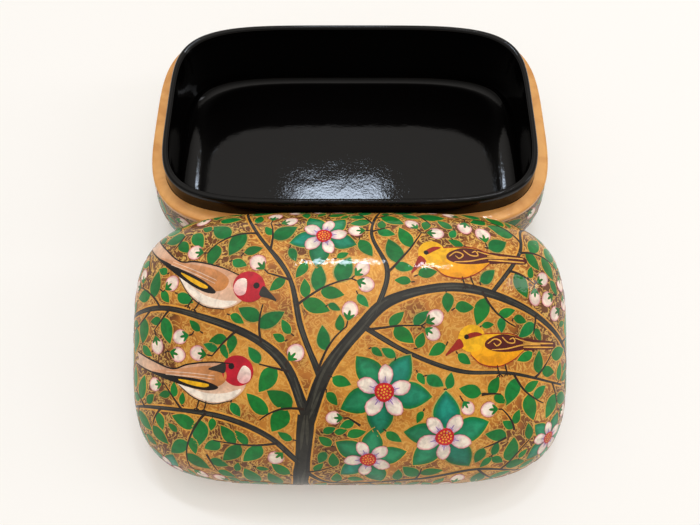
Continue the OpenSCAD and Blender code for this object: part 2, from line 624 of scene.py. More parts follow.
@dataclass(frozen=True)
class BlackLacquer:
    """Black lacquer over papier-mache: deep gloss, a little uneven from the brush."""

    name: str
    colour: str = "#060505"
    roughness: float = 0.018
    ior: float = 1.28
    ripple_mm: float = 1.4
    ripple: float = 0.1
    swell_mm: float = 9.0
    swell: float = 0.008

    def build(self) -> Material:
        """Builds the material.

        Returns:
            The material.
        """
        material, tree, place = new_material(self.name)
        ripple = add_node(tree, "ShaderNodeTexNoise", {
            "Vector": place, "Scale": 1 / (self.ripple_mm * MM), "Detail": 3.0,
            "Roughness": 0.6})
        swell = add_node(tree, "ShaderNodeTexNoise", {
            "Vector": place, "Scale": 1 / (self.swell_mm * MM), "Detail": 1.0})
        low = add_node(tree, "ShaderNodeBump", {
            "Strength": self.swell, "Distance": self.swell_mm * MM,
            "Height": swell.outputs[0]})
        high = add_node(tree, "ShaderNodeBump", {
            "Strength": self.ripple, "Distance": 0.2 * self.ripple_mm * MM,
            "Height": ripple.outputs[0], "Normal": low.outputs["Normal"]})
        skin = add_node(tree, "ShaderNodeBsdfPrincipled", {
            "Base Color": linear(self.colour), "Roughness": self.roughness,
            "IOR": self.ior, "Normal": high.outputs["Normal"]})
        add_node(tree, "ShaderNodeOutputMaterial", {"Surface": skin.outputs["BSDF"]})
        return material


@dataclass(frozen=True)
class GoldPaint:
    """Gold paint on the cut edge: brushed along, thin and darker in places."""

    name: str
    bright: str = "#E6A960"
    deep: str = "#D08E48"
    grain_mm: float = 11.0

    def build(self) -> Material:
        """Builds the material.

        Returns:
            The material.
        """
        material, tree, place = new_material(self.name)
        grain = add_node(tree, "ShaderNodeTexNoise", {
            "Vector": place, "Scale": 1 / (self.grain_mm * MM), "Detail": 4.0,
            "Distortion": 0.6})
        tone = add_node(tree, "ShaderNodeValToRGB", {"Fac": grain.outputs[0]})
        stops = tone.color_ramp.elements
        stops[0].position, stops[0].color = 0.35, linear(self.deep)
        stops[1].position, stops[1].color = 0.6, linear(self.bright)
        LACQUER.shade(tree, place, tone.outputs["Color"], roughness=0.4, metallic=0.1,
                      relief=grain.outputs[0])
        return material


# Meshes


# How Blender names a point's values and their field, by how many numbers they have
ATTRIBUTE_KINDS = {1: ("FLOAT", "value"), 3: ("FLOAT_VECTOR", "vector"),
                   4: ("FLOAT_COLOR", "color")}


def as_object(name: str, points: np.ndarray, faces: list, material: Material,
              normals: np.ndarray | None = None) -> Object:
    """Makes a smooth-shaded mesh object at the origin.

    Args:
        name: Name of the piece.
        points: Points in millimetres in the box's frame.
        faces: Lists of point indices, counter-clockwise seen from outside.
        material: The piece's material.
        normals: Unit normals at the points, where the shading should follow a surface.

    Returns:
        The new object.
    """
    mesh = bpy.data.meshes.new(name)
    mesh.from_pydata((points * MM).tolist(), [], faces)
    mesh.polygons.foreach_set("use_smooth", [True] * len(mesh.polygons))
    mesh.materials.append(material)
    mesh.update()
    if normals is not None:
        mesh.normals_split_custom_set_from_vertices(normals.tolist())
    piece = bpy.data.objects.new(name, mesh)
    bpy.context.scene.collection.objects.link(piece)
    return piece


def write_attributes(mesh: Mesh, **columns: list | np.ndarray) -> None:
    """Keeps named values on the points of a mesh: numbers, vectors or linear colours.

    Args:
        mesh: The mesh.
        **columns: Rows of one, three or four numbers for the points, by name.
    """
    for name, rows in columns.items():
        values = np.array(rows, dtype=np.float32).reshape(len(mesh.vertices), -1)
        kind, field_name = ATTRIBUTE_KINDS[values.shape[1]]
        layer = mesh.attributes.new(name, kind, "POINT")
        layer.data.foreach_set(field_name, values.ravel())


def read_attribute(mesh: Mesh, name: str, width: int) -> np.ndarray:
    """Reads an attribute of a mesh's points as rows of numbers."""
    values = np.empty(len(mesh.vertices) * width, dtype=np.float32)
    mesh.attributes[name].data.foreach_get(ATTRIBUTE_KINDS[width][1], values)
    return values.reshape(-1, width).astype(float)


def finish(piece: Object, body: Body, slot: str, *nodes: str) -> None:
    """Puts a piece on its body, hides the nodes that it stands for, and logs its face count.

    Args:
        piece: The piece.
        body: The body that carries it.
        slot: The material slot of the record; not used.
        *nodes: Nodes that it replaces.
    """
    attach(piece, body.value)
    if nodes:
        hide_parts(*nodes)
    LOG.info("%s: %d faces", piece.name, len(piece.data.polygons))


@dataclass
class Hoop:
    """A closed band through rings of one outline family: up the outside, down the inside."""

    around: int = 320

    def ring(self, outline: SquaredOval, z: float) -> np.ndarray:
        """Gives one ring of points at a height."""
        turn = np.arange(self.around) * TURN / self.around
        x, y = outline.at(turn)
        return np.stack([x, y, np.full_like(x, z)], axis=1)

    def faces(self, count: int, closed: bool) -> list[list[int]]:
        """Gives the faces between rings that follow each other.

        Args:
            count: Number of rings.
            closed: Whether the last ring joins the first.

        Returns:
            Four point indices for each face.
        """
        n = self.around
        result = []
        for k in range(count if closed else count - 1):
            low, high = k * n, ((k + 1) % count) * n
            for i in range(n):
                j = (i + 1) % n
                result.append([low + i, low + j, high + j, high + i])
        return result

    def build(self, name: str, profile: list[tuple[SquaredOval, float]],
              material: Material, sharp: float = 32) -> Object:
        """Lofts a closed series of outlines.

        Args:
            name: Name of the piece.
            profile: Outlines with their heights, up the outside and down the inside.
            material: The piece's material.
            sharp: Edges that turn by more than this many degrees stay crisp.

        Returns:
            The new object.
        """
        points = np.vstack([self.ring(outline, z) for outline, z in profile])
        piece = as_object(name, points, self.faces(len(profile), True), material)
        crisp(piece, sharp)
        return piece


def crisp(piece: Object, degrees: float) -> None:
    """Marks the edges of a piece that turn by more than an angle as sharp."""
    piece.data.set_sharp_from_angle(angle=math.radians(degrees))


class Tree:
    """A Geometry Nodes tree made in the script, with named inputs."""

    def __init__(self, name: str, sizes: dict[str, float]) -> None:
        """Makes the tree's interface.

        Args:
            name: Name of the tree.
            sizes: Named number inputs with their values.
        """
        self.tree = bpy.data.node_groups.new(name, "GeometryNodeTree")
        self.sizes = sizes
        self.tree.interface.new_socket("Geometry", in_out="INPUT",
                                       socket_type="NodeSocketGeometry")
        for label, value in sizes.items():
            socket = self.tree.interface.new_socket(label, in_out="INPUT",
                                                    socket_type="NodeSocketFloat")
            socket.default_value = value
        self.tree.interface.new_socket("Geometry", in_out="OUTPUT",
                                       socket_type="NodeSocketGeometry")
        self.source = add_node(self.tree, "NodeGroupInput")

    def add(self, kind: str, inputs: dict | None = None, **settings: object) -> Node:
        """Adds a node to the tree."""
        return add_node(self.tree, kind, inputs, **settings)

    def maths(self, operation: str, *values: object) -> NodeSocket:
        """Adds one sum, and gives its result."""
        return self.add("ShaderNodeMath", dict(enumerate(values)),
                        operation=operation).outputs[0]

    def attribute(self, name: str, kind: str) -> NodeSocket:
        """Reads a named attribute of the geometry."""
        node = self.add("GeometryNodeInputNamedAttribute", {"Name": name}, data_type=kind)
        return next(s for s in node.outputs if s.enabled and s.name == "Attribute")

    def end(self, geometry: NodeSocket, material: Material) -> None:
        """Ends the tree in Realize Instances and Set Material."""
        real = self.add("GeometryNodeRealizeInstances", {"Geometry": geometry})
        dressed = self.add("GeometryNodeSetMaterial", {
            "Geometry": real.outputs[0], "Material": material})
        self.add("NodeGroupOutput", {0: dressed.outputs[0]})

    def run(self, carrier: Object) -> Mesh:
        """Runs the tree on an object and gives the result as a plain mesh.

        Args:
            carrier: The object whose geometry feeds the tree; it is deleted.

        Returns:
            The new mesh.
        """
        modifier = carrier.modifiers.new(self.tree.name, "NODES")
        modifier.node_group = self.tree
        for item in self.tree.interface.items_tree:
            if item.item_type == "SOCKET" and item.in_out == "INPUT" and item.name in self.sizes:
                modifier[item.identifier] = float(self.sizes[item.name])
        graph = bpy.context.evaluated_depsgraph_get()
        graph.update()
        mesh = bpy.data.meshes.new_from_object(carrier.evaluated_get(graph))
        carrier.modifiers.remove(modifier)
        bpy.data.objects.remove(carrier)
        return mesh


def carrier_object(name: str, points: np.ndarray | None = None,
                   edges: list | None = None) -> Object:
    """Makes a bare object of points and edges that feeds a Geometry Nodes tree."""
    mesh = bpy.data.meshes.new(name)
    mesh.from_pydata([] if points is None else points.tolist(), edges or [], [])
    piece = bpy.data.objects.new(name, mesh)
    bpy.context.scene.collection.objects.link(piece)
    return piece


@dataclass
class SquaredDome:
    """A thin dome on a squared-off oval, grown by Geometry Nodes from its formula.

    The tree lays a grid of turns by climbs. The first half of the climbs runs down the
    outside from crown to rim, the second half runs up the inside.
    """

    outer: SquaredOval
    outer_top: float
    inner: SquaredOval
    inner_top: float
    low: float
    crown_flatness: float
    side_rise: float
    around: int = 240
    climbs: int = 56

    def build(self, name: str, material: Material) -> Mesh:
        """Builds the dome in the lid's own frame, in millimetres.

        Args:
            name: Name of the tree.
            material: The dome's material.

        Returns:
            The dome as a plain closed mesh.
        """
        tree = Tree(name, {
            "Outer half length": self.outer.half_length,
            "Outer half width": self.outer.half_width,
            "Outer side squareness": self.outer.side_squareness,
            "Inner half length": self.inner.half_length,
            "Inner half width": self.inner.half_width,
            "Inner side squareness": self.inner.side_squareness,
            "End squareness": self.outer.end_squareness,
            "Rim height": self.low, "Outer top": self.outer_top,
            "Inner top": self.inner_top, "Crown flatness": self.crown_flatness,
            "Side rise": self.side_rise})
        size = tree.source.outputs
        grid = tree.add("GeometryNodeMeshGrid", {
            "Size X": 1.0, "Size Y": 2.0, "Vertices X": self.around + 1,
            "Vertices Y": 2 * self.climbs + 2})
        spot = tree.add("ShaderNodeSeparateXYZ", {
            0: tree.add("GeometryNodeInputPosition").outputs[0]})
        turn = tree.maths("MULTIPLY", tree.maths("ADD", spot.outputs["X"], 0.5), -TURN)
        inside = tree.maths("GREATER_THAN", spot.outputs["Y"], 0.0)
        first = 1 / (2 * self.climbs + 1)
        above = tree.maths("SUBTRACT", tree.maths("ABSOLUTE", spot.outputs["Y"]), first)
        climb = tree.maths("MULTIPLY", above, QUARTER / (1 - first))

        def either(outer: str, inner: str) -> NodeSocket:
            """Takes one input on the outside and another on the inside."""
            return tree.add("ShaderNodeMix", {
                "Factor": inside, "A": size[outer], "B": size[inner]}).outputs[0]

        def squared(value: NodeSocket, power: object) -> NodeSocket:
            """Raises a cosine or sine to two over a power, and keeps its sign."""
            grown = tree.maths("POWER", tree.maths("ABSOLUTE", value),
                               tree.maths("DIVIDE", 2.0, power))
            return tree.maths("MULTIPLY", grown, tree.maths("SIGN", value))

        shrink = squared(tree.maths("COSINE", climb), size["Crown flatness"])
        rise = squared(tree.maths("SINE", climb), size["Side rise"])
        x = tree.maths("MULTIPLY", squared(tree.maths("COSINE", turn), size["End squareness"]),
                       either("Outer half length", "Inner half length"))
        y = tree.maths("MULTIPLY", squared(
            tree.maths("SINE", turn),
            either("Outer side squareness", "Inner side squareness")),
            either("Outer half width", "Inner half width"))
        span = tree.maths("SUBTRACT", either("Outer top", "Inner top"), size["Rim height"])
        z = tree.maths("MULTIPLY_ADD", span, rise, size["Rim height"])
        place = tree.add("ShaderNodeCombineXYZ", {
            0: tree.maths("MULTIPLY", x, shrink), 1: tree.maths("MULTIPLY", y, shrink), 2: z})
        shaped = tree.add("GeometryNodeSetPosition", {
            "Geometry": grid.outputs["Mesh"], "Position": place.outputs[0]})
        closed = tree.add("GeometryNodeMergeByDistance", {
            "Geometry": shaped.outputs[0], "Distance": 1e-3})
        tree.end(closed.outputs[0], material)
        return tree.run(carrier_object(name))


def mesh_arrays(mesh: Mesh) -> tuple[np.ndarray, list[list[int]]]:
    """Reads a mesh's points and faces."""
    points = np.empty(len(mesh.vertices) * 3)
    mesh.vertices.foreach_get("co", points)
    return points.reshape(-1, 3), [list(p.vertices) for p in mesh.polygons]


# The brush: motifs, ribbons and patches of paint


class Layer(Enum):
    """How high each layer of paint stands over the ground, in millimetres."""

    HALO = 0.04
    BRANCH = 0.07
    STREAK = 0.09
    LEAF = 0.11
    TWIG = 0.125
    BUD = 0.14
    CALYX = 0.17
    PETAL = 0.19
    VEIN = 0.205
    CENTRE = 0.22
    DOT = 0.24
    TAIL = 0.18
    BODY = 0.2
    WING = 0.23
    DETAIL = 0.26
    FINE = 0.29


class Motif(Enum):
    """Brush motifs that are repeated over the painting."""

    LEAF = "leaf"
    LEAF_LEFT = "leaf_left"
    LEAF_RIGHT = "leaf_right"
    BIG_LEAF = "big_leaf"
    BUD = "bud"
    CALYX = "calyx"
    PETAL = "petal"
    HEART = "heart"
    DOT = "dot"


# Depth of each slab of paint under the ground's face, and sizes of the motifs
UNDER = 0.12
LEAF_LENGTH = 10.0
LEAF_WIDTH = 5.8
BIG_LENGTH = 15.5
BIG_WIDTH = 11.0
BUD_RADIUS = 3.7


def blend(a: np.ndarray, b: np.ndarray, share: np.ndarray) -> np.ndarray:
    """Mixes two linear colours by a share for each point."""
    return a[None, :] * (1 - share[:, None]) + b[None, :] * share[:, None]


@dataclass(frozen=True)
class Stamp:
    """One motif: rings of paint from its edge inwards, as a thin closed slab.

    Near the root, which is the origin, the rings can turn to another hue.
    """

    rings: tuple[np.ndarray, ...]
    hues: tuple[Hue, ...]
    middle: tuple[float, float]
    layer: Layer
    root: Hue | None = None
    root_length: float = 1.0

    def build(self, name: str) -> Object:
        """Builds the motif as an object whose mesh keeps its colours.

        Args:
            name: Name of the motif.

        Returns:
            The object, in millimetres, for instancing only.
        """
        n = len(self.rings[0])
        top = self.layer.value
        stack = [np.column_stack([self.rings[0], np.full(n, -UNDER)])]
        stack += [np.column_stack([ring, np.full(n, top)]) for ring in self.rings]
        points = np.vstack(stack + [[[*self.middle, top]]])
        hues = [self.hues[0], *self.hues]
        colours = np.vstack([np.tile(linear(h.value), (n, 1)) for h in hues]
                            + [[linear(self.hues[-1].value)]])
        if self.root is not None:
            share = np.clip(1 - points[:, 0] / self.root_length, 0, 1)
            inner = np.arange(len(points)) >= 2 * n
            goal = np.array(linear(self.root.value))
            mixed = colours + (goal - colours) * share[:, None]
            colours = np.where(inner[:, None], mixed, colours)
        faces = [list(range(n))[::-1]]
        for k in range(len(stack) - 1):
            for i in range(n):
                j = (i + 1) % n
                faces.append([k * n + i, k * n + j, (k + 1) * n + j, (k + 1) * n + i])
        last = (len(stack) - 1) * n
        faces += [[last + i, last + (i + 1) % n, len(points) - 1] for i in range(n)]
        mesh = bpy.data.meshes.new(name)
        mesh.from_pydata(points.tolist(), [], faces)
        write_attributes(mesh, paint=colours)
        return bpy.data.objects.new(name, mesh)


def leaf_ring(length: float, width: float, bend: float, grow: float) -> np.ndarray:
    """Gives a leaf's outline from its stalk along +X.

    Args:
        length: Length of the leaf.
        width: Its width.
        bend: Share of the length by which the tip swings aside.
        grow: How far the ring lies outside the leaf, or inside if negative.

    Returns:
        Sixteen points, counter-clockwise.
    """
    share = np.linspace(0, 1, 9)
    half = (width / 2 + grow) * np.sin(np.pi * share ** 0.8) ** 0.88
    along = share * (length + 2 * grow) - grow
    aside = bend * length * share ** 2
    low = np.column_stack([along, aside - half])
    high = np.column_stack([along, aside + half])[-2:0:-1]
    return np.vstack([low, high])


def round_ring(radius: float, count: int, wobble: float = 0.0) -> np.ndarray:
    """Gives a circle, drawn a little unevenly by hand if it wobbles."""
    turn = np.arange(count) * TURN / count
    r = radius * (1 + wobble * np.sin(3 * turn + 1.0))
    return np.column_stack([r * np.cos(turn), r * np.sin(turn)])


def calyx_ring(grow: float) -> np.ndarray:
    """Gives the outline of three green sepals that clasp a bud along +X."""
    spots = [(-100, 0.9), (-62, 2.3), (-50, 3.5), (-40, 3.2), (-24, 1.7), (-9, 3.4), (0, 4.1),
             (9, 3.4), (24, 1.7), (40, 3.2), (50, 3.5), (62, 2.3), (100, 0.9), (180, 0.8)]
    return np.array([((r + grow) * math.cos(math.radians(a)),
                      (r + grow) * math.sin(math.radians(a))) for a, r in spots])


def petal_ring(length: float, width: float, grow: float) -> np.ndarray:
    """Gives a petal's outline: narrow at the root, broad, and blunt at its end.

    Args:
        length: Length of the petal.
        width: Its width.
        grow: How far the ring lies outside the petal, or inside if negative.

    Returns:
        Thirteen points, counter-clockwise.
    """
    share = np.array([0, 0.16, 0.36, 0.58, 0.78, 0.92])
    half = np.array([0.13, 0.28, 0.43, 0.5, 0.42, 0.22]) * width + grow
    along = share * (length + 2 * grow) - grow
    low = np.column_stack([along, -half])
    high = np.column_stack([along, half * [1, 1, 1, 0.94, 0.9, 1.15]])[::-1]
    notch = np.array([[length + grow, 0.05 * width]])
    return np.vstack([low, notch, high])


def make_stamps() -> dict[Motif, Stamp]:
    """Draws each motif once.

    Returns:
        The motifs, at their usual size in millimetres.
    """
    stamps = {}
    for motif, bend in ((Motif.LEAF, 0.0), (Motif.LEAF_LEFT, 0.18), (Motif.LEAF_RIGHT, -0.18)):
        rings = tuple(leaf_ring(LEAF_LENGTH, LEAF_WIDTH, bend, g)
                      for g in (0.4, 0.02, -0.1, -1.4))
        stamps[motif] = Stamp(rings, (Hue.HALO, Hue.HALO, Hue.LEAF, Hue.LEAF),
                              (4.4, bend * 2.0), Layer.LEAF)
    rings = tuple(leaf_ring(BIG_LENGTH, BIG_WIDTH, 0.06, g)
                  for g in (0.5, 0.02, -0.14, -1.8, -3.6))
    stamps[Motif.BIG_LEAF] = Stamp(rings, (Hue.HALO, Hue.HALO, Hue.LEAF, Hue.LEAF_TEAL,
                                           Hue.LEAF_SHINE), (6.4, 0.3), Layer.LEAF)
    rings = tuple(round_ring(r, 14, 0.03) for r in (3.7, 3.46, 2.5))
    stamps[Motif.BUD] = Stamp(rings, (Hue.RIM, Hue.PINK, Hue.CREAM), (0.0, 0.0), Layer.BUD)
    rings = (calyx_ring(0.22), calyx_ring(0.0))
    stamps[Motif.CALYX] = Stamp(rings, (Hue.HALO, Hue.LEAF), (0.9, 0.0), Layer.CALYX)
    rings = tuple(petal_ring(9.6, 6.8, g) for g in (0.1, -0.12, -0.9))
    stamps[Motif.PETAL] = Stamp(rings, (Hue.RIM, Hue.PINK, Hue.CREAM), (5.4, 0.0),
                                Layer.PETAL, Hue.LILAC, 5.4)
    rings = tuple(round_ring(r, 14, 0.05) for r in (3.9, 3.5))
    stamps[Motif.HEART] = Stamp(rings, (Hue.CRIMSON, Hue.RED), (0.0, 0.0), Layer.CENTRE)
    stamps[Motif.DOT] = Stamp((round_ring(0.44, 6),), (Hue.STAMEN,), (0.0, 0.0), Layer.DOT)
    return stamps


@dataclass(frozen=True)
class Mark:
    """One place where a motif is laid down."""

    place: tuple[float, float]
    spin: float
    size: tuple[float, float] = (1.0, 1.0)
    tint: tuple[float, float, float] = (1.0, 1.0, 1.0)


@dataclass(frozen=True)
class Ribbon:
    """One stroke along a path, with its width at each point."""

    path: np.ndarray
    widths: np.ndarray
    hue: Hue
    layer: Layer


@dataclass(frozen=True)
class Patch:
    """One filled shape, which can shade from one hue to another along a direction."""

    outline: np.ndarray
    hue: Hue
    layer: Layer
    other: Hue | None = None
    toward: tuple[float, float] = (0.0, -1.0)


def smooth(path: list | np.ndarray, step: float, closed: bool = False) -> np.ndarray:
    """Draws a smooth curve through points, in even steps.

    Args:
        path: The points.
        step: Distance between the points of the result.
        closed: Whether the curve comes back to its start.

    Returns:
        Points on the curve; a closed curve doesn't repeat its first point.
    """
    p = np.asarray(path, dtype=float)
    ends = (p[-1], p[0], p[1]) if closed else (2 * p[0] - p[1], 2 * p[-1] - p[-2], None)
    q = np.vstack([ends[0], p, ends[1]] + ([ends[2]] if closed else []))
    pieces = []
    for k in range(len(q) - 3):
        t = np.linspace(0, 1, 16, endpoint=False)[:, None]
        a, b, c, d = q[k:k + 4]
        pieces.append(0.5 * (2 * b + (c - a) * t + (2 * a - 5 * b + 4 * c - d) * t ** 2
                             + (3 * b - a - 3 * c + d) * t ** 3))
    curve = np.vstack(pieces + [q[-2][None, :]])
    way = np.concatenate([[0], np.cumsum(np.hypot(*np.diff(curve, axis=0).T))])
    count = max(3, int(round(way[-1] / step)) + 1)
    spots = np.linspace(0, way[-1], count)
    even = np.column_stack([np.interp(spots, way, curve[:, i]) for i in (0, 1)])
    return even[:-1] if closed else even


class Brush:
    """Turns marks, ribbons and patches on a sheet into thin meshes wrapped on the box."""

    def __init__(self, sheet: Sheet, stamps: dict[Motif, Stamp],
                 material: Material) -> None:
        """Keeps what the brush works with.

        Args:
            sheet: The sheet that is painted.
            stamps: The motifs.
            material: The paint.
        """
        self.sheet = sheet
        self.stamps = stamps
        self.material = material

    def marks(self, motif: Motif, marks: list[Mark]) -> tuple:
        """Scatters one motif over its marks with Geometry Nodes.

        Args:
            motif: The motif.
            marks: Where it is laid, how it is turned, its size and its tint.

        Returns:
            Points on the sheet, faces and colours.
        """
        tree = Tree("scatter_" + motif.value, {"Motif size": 1.0})
        template = self.stamps[motif].build("motif_" + motif.value)
        stamp = tree.add("GeometryNodeObjectInfo", {"Object": template})
        spin = tree.add("ShaderNodeCombineXYZ", {2: tree.attribute("spin", "FLOAT")})
        turned = tree.add("FunctionNodeEulerToRotation", {0: spin.outputs[0]})
        size = tree.add("ShaderNodeVectorMath", {
            0: tree.attribute("size", "FLOAT_VECTOR"),
            1: tree.add("ShaderNodeCombineXYZ", {
                0: tree.source.outputs["Motif size"], 1: tree.source.outputs["Motif size"],
                2: 1.0}).outputs[0]}, operation="MULTIPLY")
        laid = tree.add("GeometryNodeInstanceOnPoints", {
            "Points": tree.source.outputs["Geometry"], "Instance": stamp.outputs["Geometry"],
            "Rotation": turned.outputs[0], "Scale": size.outputs[0]})
        tree.end(laid.outputs[0], self.material)
        points = np.array([[*m.place, 0.0] for m in marks])
        carrier = carrier_object("marks_" + motif.value, points)
        write_attributes(carrier.data, spin=[m.spin for m in marks],
                         size=[[*m.size, 1.0] for m in marks], tint=[m.tint for m in marks])
        mesh = tree.run(carrier)
        bpy.data.objects.remove(template)
        flat, faces = mesh_arrays(mesh)
        colours = read_attribute(mesh, "paint", 4)
        colours[:, :3] *= read_attribute(mesh, "tint", 3)
        return flat, faces, colours

    def ribbons(self, ribbons: list[Ribbon], broad: bool) -> tuple:
        """Sweeps strokes along their paths with Geometry Nodes.

        Args:
            ribbons: The strokes.
            broad: Whether they are wide enough to need points across them.

        Returns:
            Points on the sheet, faces and colours.
        """
        count = 10 if broad else 4
        tree = Tree("strokes_broad" if broad else "strokes_fine", {"Stroke width": 1.0})
        curve = tree.add("GeometryNodeMeshToCurve", {"Mesh": tree.source.outputs["Geometry"]})
        up = tree.add("GeometryNodeSetCurveNormal", {"Curve": curve.outputs[0]}, mode="Z_UP")
        half = tree.maths("MULTIPLY", tree.attribute("width", "FLOAT"), tree.maths(
            "MULTIPLY", tree.source.outputs["Stroke width"], 0.5))
        circle = tree.add("GeometryNodeCurvePrimitiveCircle", {
            "Resolution": count, "Radius": 1 / math.cos(math.pi / count)})
        turned = tree.add("GeometryNodeTransform", {
            "Geometry": circle.outputs["Curve"], "Rotation": (0.0, 0.0, math.pi / count)})
        swept = tree.add("GeometryNodeCurveToMesh", {
            "Curve": up.outputs[0], "Profile Curve": turned.outputs[0], "Scale": half,
            "Fill Caps": True})
        tree.end(swept.outputs[0], self.material)
        points, edges, widths, lifts, paints = [], [], [], [], []
        for ribbon in ribbons:
            start, n = len(points), len(ribbon.path)
            points += [[x, y, 0.0] for x, y in ribbon.path]
            edges += [[start + i, start + i + 1] for i in range(n - 1)]
            widths += list(ribbon.widths)
            lifts += [ribbon.layer.value] * n
            paints += [linear(ribbon.hue.value)] * n
        carrier = carrier_object("strokes", np.array(points), edges)
        write_attributes(carrier.data, width=widths, lift=lifts, paint=paints)
        mesh = tree.run(carrier)
        flat, faces = mesh_arrays(mesh)
        lift = read_attribute(mesh, "lift", 1)[:, 0]
        flat[:, 2] = np.where(flat[:, 2] > 0, lift, -UNDER)
        return flat, faces, read_attribute(mesh, "paint", 4)

    def patch(self, patch: Patch, step: float = 1.0, mesh_mm: float = 2.0) -> tuple:
        """Fills a shape with a fine flat mesh and gives it thickness.

        Args:
            patch: The shape.
            step: Spacing of the points on its edge.
            mesh_mm: Spacing of the points inside.

        Returns:
            Points on the sheet, faces and colours.
        """
        edge = smooth(patch.outline, step, closed=True)
        if signed_area(edge) < 0:
            edge = edge[::-1]
        low, high = edge.min(axis=0), edge.max(axis=0)
        xs = np.arange(low[0] + mesh_mm * 0.4, high[0], mesh_mm)
        ys = np.arange(low[1] + mesh_mm * 0.4, high[1], mesh_mm)
        grid = np.array([(x, y) for x in xs for y in ys]).reshape(-1, 2)
        grid = grid[inside(edge, grid)]
        inner = [g for g in grid.tolist() if np.min(np.hypot(*(edge - g).T)) > step * 0.6]
        everything = [Vector(p) for p in edge.tolist() + inner]
        loop = list(range(len(edge)))
        flat, _, faces, *_ = delaunay_2d_cdt(everything, [], [loop], 1, 1e-5)
        flat = np.array([[v.x, v.y] for v in flat])
        n = len(flat)
        top = np.column_stack([flat, np.full(n, patch.layer.value)])
        under = np.column_stack([flat, np.full(n, -UNDER)])
        upper = [list(f) for f in faces]
        border = {}
        for face in upper:
            for i, j in zip(face, face[1:] + face[:1]):
                if (j, i) in border:
                    del border[(j, i)]
                else:
                    border[(i, j)] = True
        sides = [[j, i, i + n, j + n] for i, j in border]
        lower = [[i + n for i in reversed(face)] for face in upper]
        hue = np.array(linear(patch.hue.value))
        colours = np.tile(hue, (2 * n, 1))
        if patch.other is not None:
            along = flat @ np.array(patch.toward)
            share = (along - along.min()) / max(1e-6, float(np.ptp(along)))
            shaded = blend(hue, np.array(linear(patch.other.value)), share)
            colours = np.vstack([shaded, shaded])
        return np.vstack([top, under]), upper + sides + lower, colours

    def lay(self, name: str, parts: list[tuple], slot: str) -> Object:
        """Wraps flat meshes round the box as one piece.

        Args:
            name: Name of the piece.
            parts: Flat meshes: points, faces and colours.
            slot: Material slot of the record.

        Returns:
            The piece.
        """
        flat, faces, colours, start = [], [], [], 0
        for points, part_faces, part_colours in parts:
            flat.append(points)
            colours.append(part_colours)
            faces += [[i + start for i in face] for face in part_faces]
            start += len(points)
        wrapped, normals = self.sheet.wrap(np.vstack(flat))
        piece = as_object(name, wrapped, faces, self.material, normals)
        write_attributes(piece.data, paint=np.vstack(colours))
        finish(piece, self.sheet.body, slot)
        return piece


def signed_area(loop: np.ndarray) -> float:
    """Gives a loop's area, which is positive if it runs counter-clockwise."""
    x, y = loop.T
    return float(np.sum(x * np.roll(y, -1) - np.roll(x, -1) * y) / 2)


def inside(loop: np.ndarray, points: np.ndarray) -> np.ndarray:
    """Says which points lie inside a closed loop.

    Args:
        loop: The loop's corners.
        points: The points.

    Returns:
        Whether each point lies inside.
    """
    x, y = loop.T
    x2, y2 = np.roll(x, -1), np.roll(y, -1)
    px, py = points[:, :1], points[:, 1:]
    crosses = (y > py) != (y2 > py)
    with np.errstate(divide="ignore", invalid="ignore"):
        at = x + (py - y) * (x2 - x) / (y2 - y)
    return (crosses & (px < at)).sum(axis=1) % 2 == 1


# The planning of the painting


class Plot:
    """A fine grid over a sheet that keeps motifs from running into each other."""

    CELL = 0.5

    def __init__(self, sheet: Sheet, low: tuple[float, float], high: tuple[float, float],
                 margin: float) -> None:
        """Makes the grid, taken wherever the sheet ends.

        Args:
            sheet: The sheet.
            low: Its lowest places.
            high: Its highest places.
            margin: How far motifs keep from its edge.
        """
        self.low = np.array(low)
        self.shape = np.ceil((np.array(high) - self.low) / self.CELL).astype(int)
        i, j = np.meshgrid(*(np.arange(n) for n in self.shape), indexing="ij")
        self.centres = np.stack([i, j], axis=-1) * self.CELL + self.low + self.CELL / 2
        flat = self.centres.reshape(-1, 2)
        self.taken = ~sheet.holds(flat, margin).reshape(self.shape)

    def free(self, points: np.ndarray) -> bool:
        """Says whether every one of the points is free."""
        ij = np.floor((points - self.low) / self.CELL).astype(int)
        if (ij < 0).any() or (ij >= self.shape).any():
            return False
        return not self.taken[ij[:, 0], ij[:, 1]].any()

    def take(self, points: np.ndarray) -> None:
        """Takes the cells under the points."""
        ij = np.floor((points - self.low) / self.CELL).astype(int)
        ij = np.clip(ij, 0, self.shape - 1)
        self.taken[ij[:, 0], ij[:, 1]] = True

    def take_shape(self, outline: np.ndarray) -> None:
        """Takes the cells inside a closed outline."""
        near = (self.centres > outline.min(axis=0) - 1) & (self.centres < outline.max(axis=0) + 1)
        ij = np.argwhere(near.all(axis=-1))
        held = inside(outline, self.centres[ij[:, 0], ij[:, 1]])
        self.taken[ij[held, 0], ij[held, 1]] = True

    def any_free(self, rng: random.Random) -> np.ndarray:
        """Picks one of the free places."""
        free = np.argwhere(~self.taken)
        return self.centres[tuple(free[rng.randrange(len(free))])]


def turn_by(points: np.ndarray, angle: float) -> np.ndarray:
    """Turns points about the origin."""
    c, s = math.cos(angle), math.sin(angle)
    return points @ np.array([[c, s], [-s, c]])


def filled(ring: np.ndarray, step: float = 0.4) -> np.ndarray:
    """Gives points spread all over a closed ring."""
    low, high = ring.min(axis=0), ring.max(axis=0)
    xs, ys = (np.arange(low[k], high[k] + step, step) for k in (0, 1))
    spots = np.array([(x, y) for x in xs for y in ys])
    return spots[inside(ring, spots)]


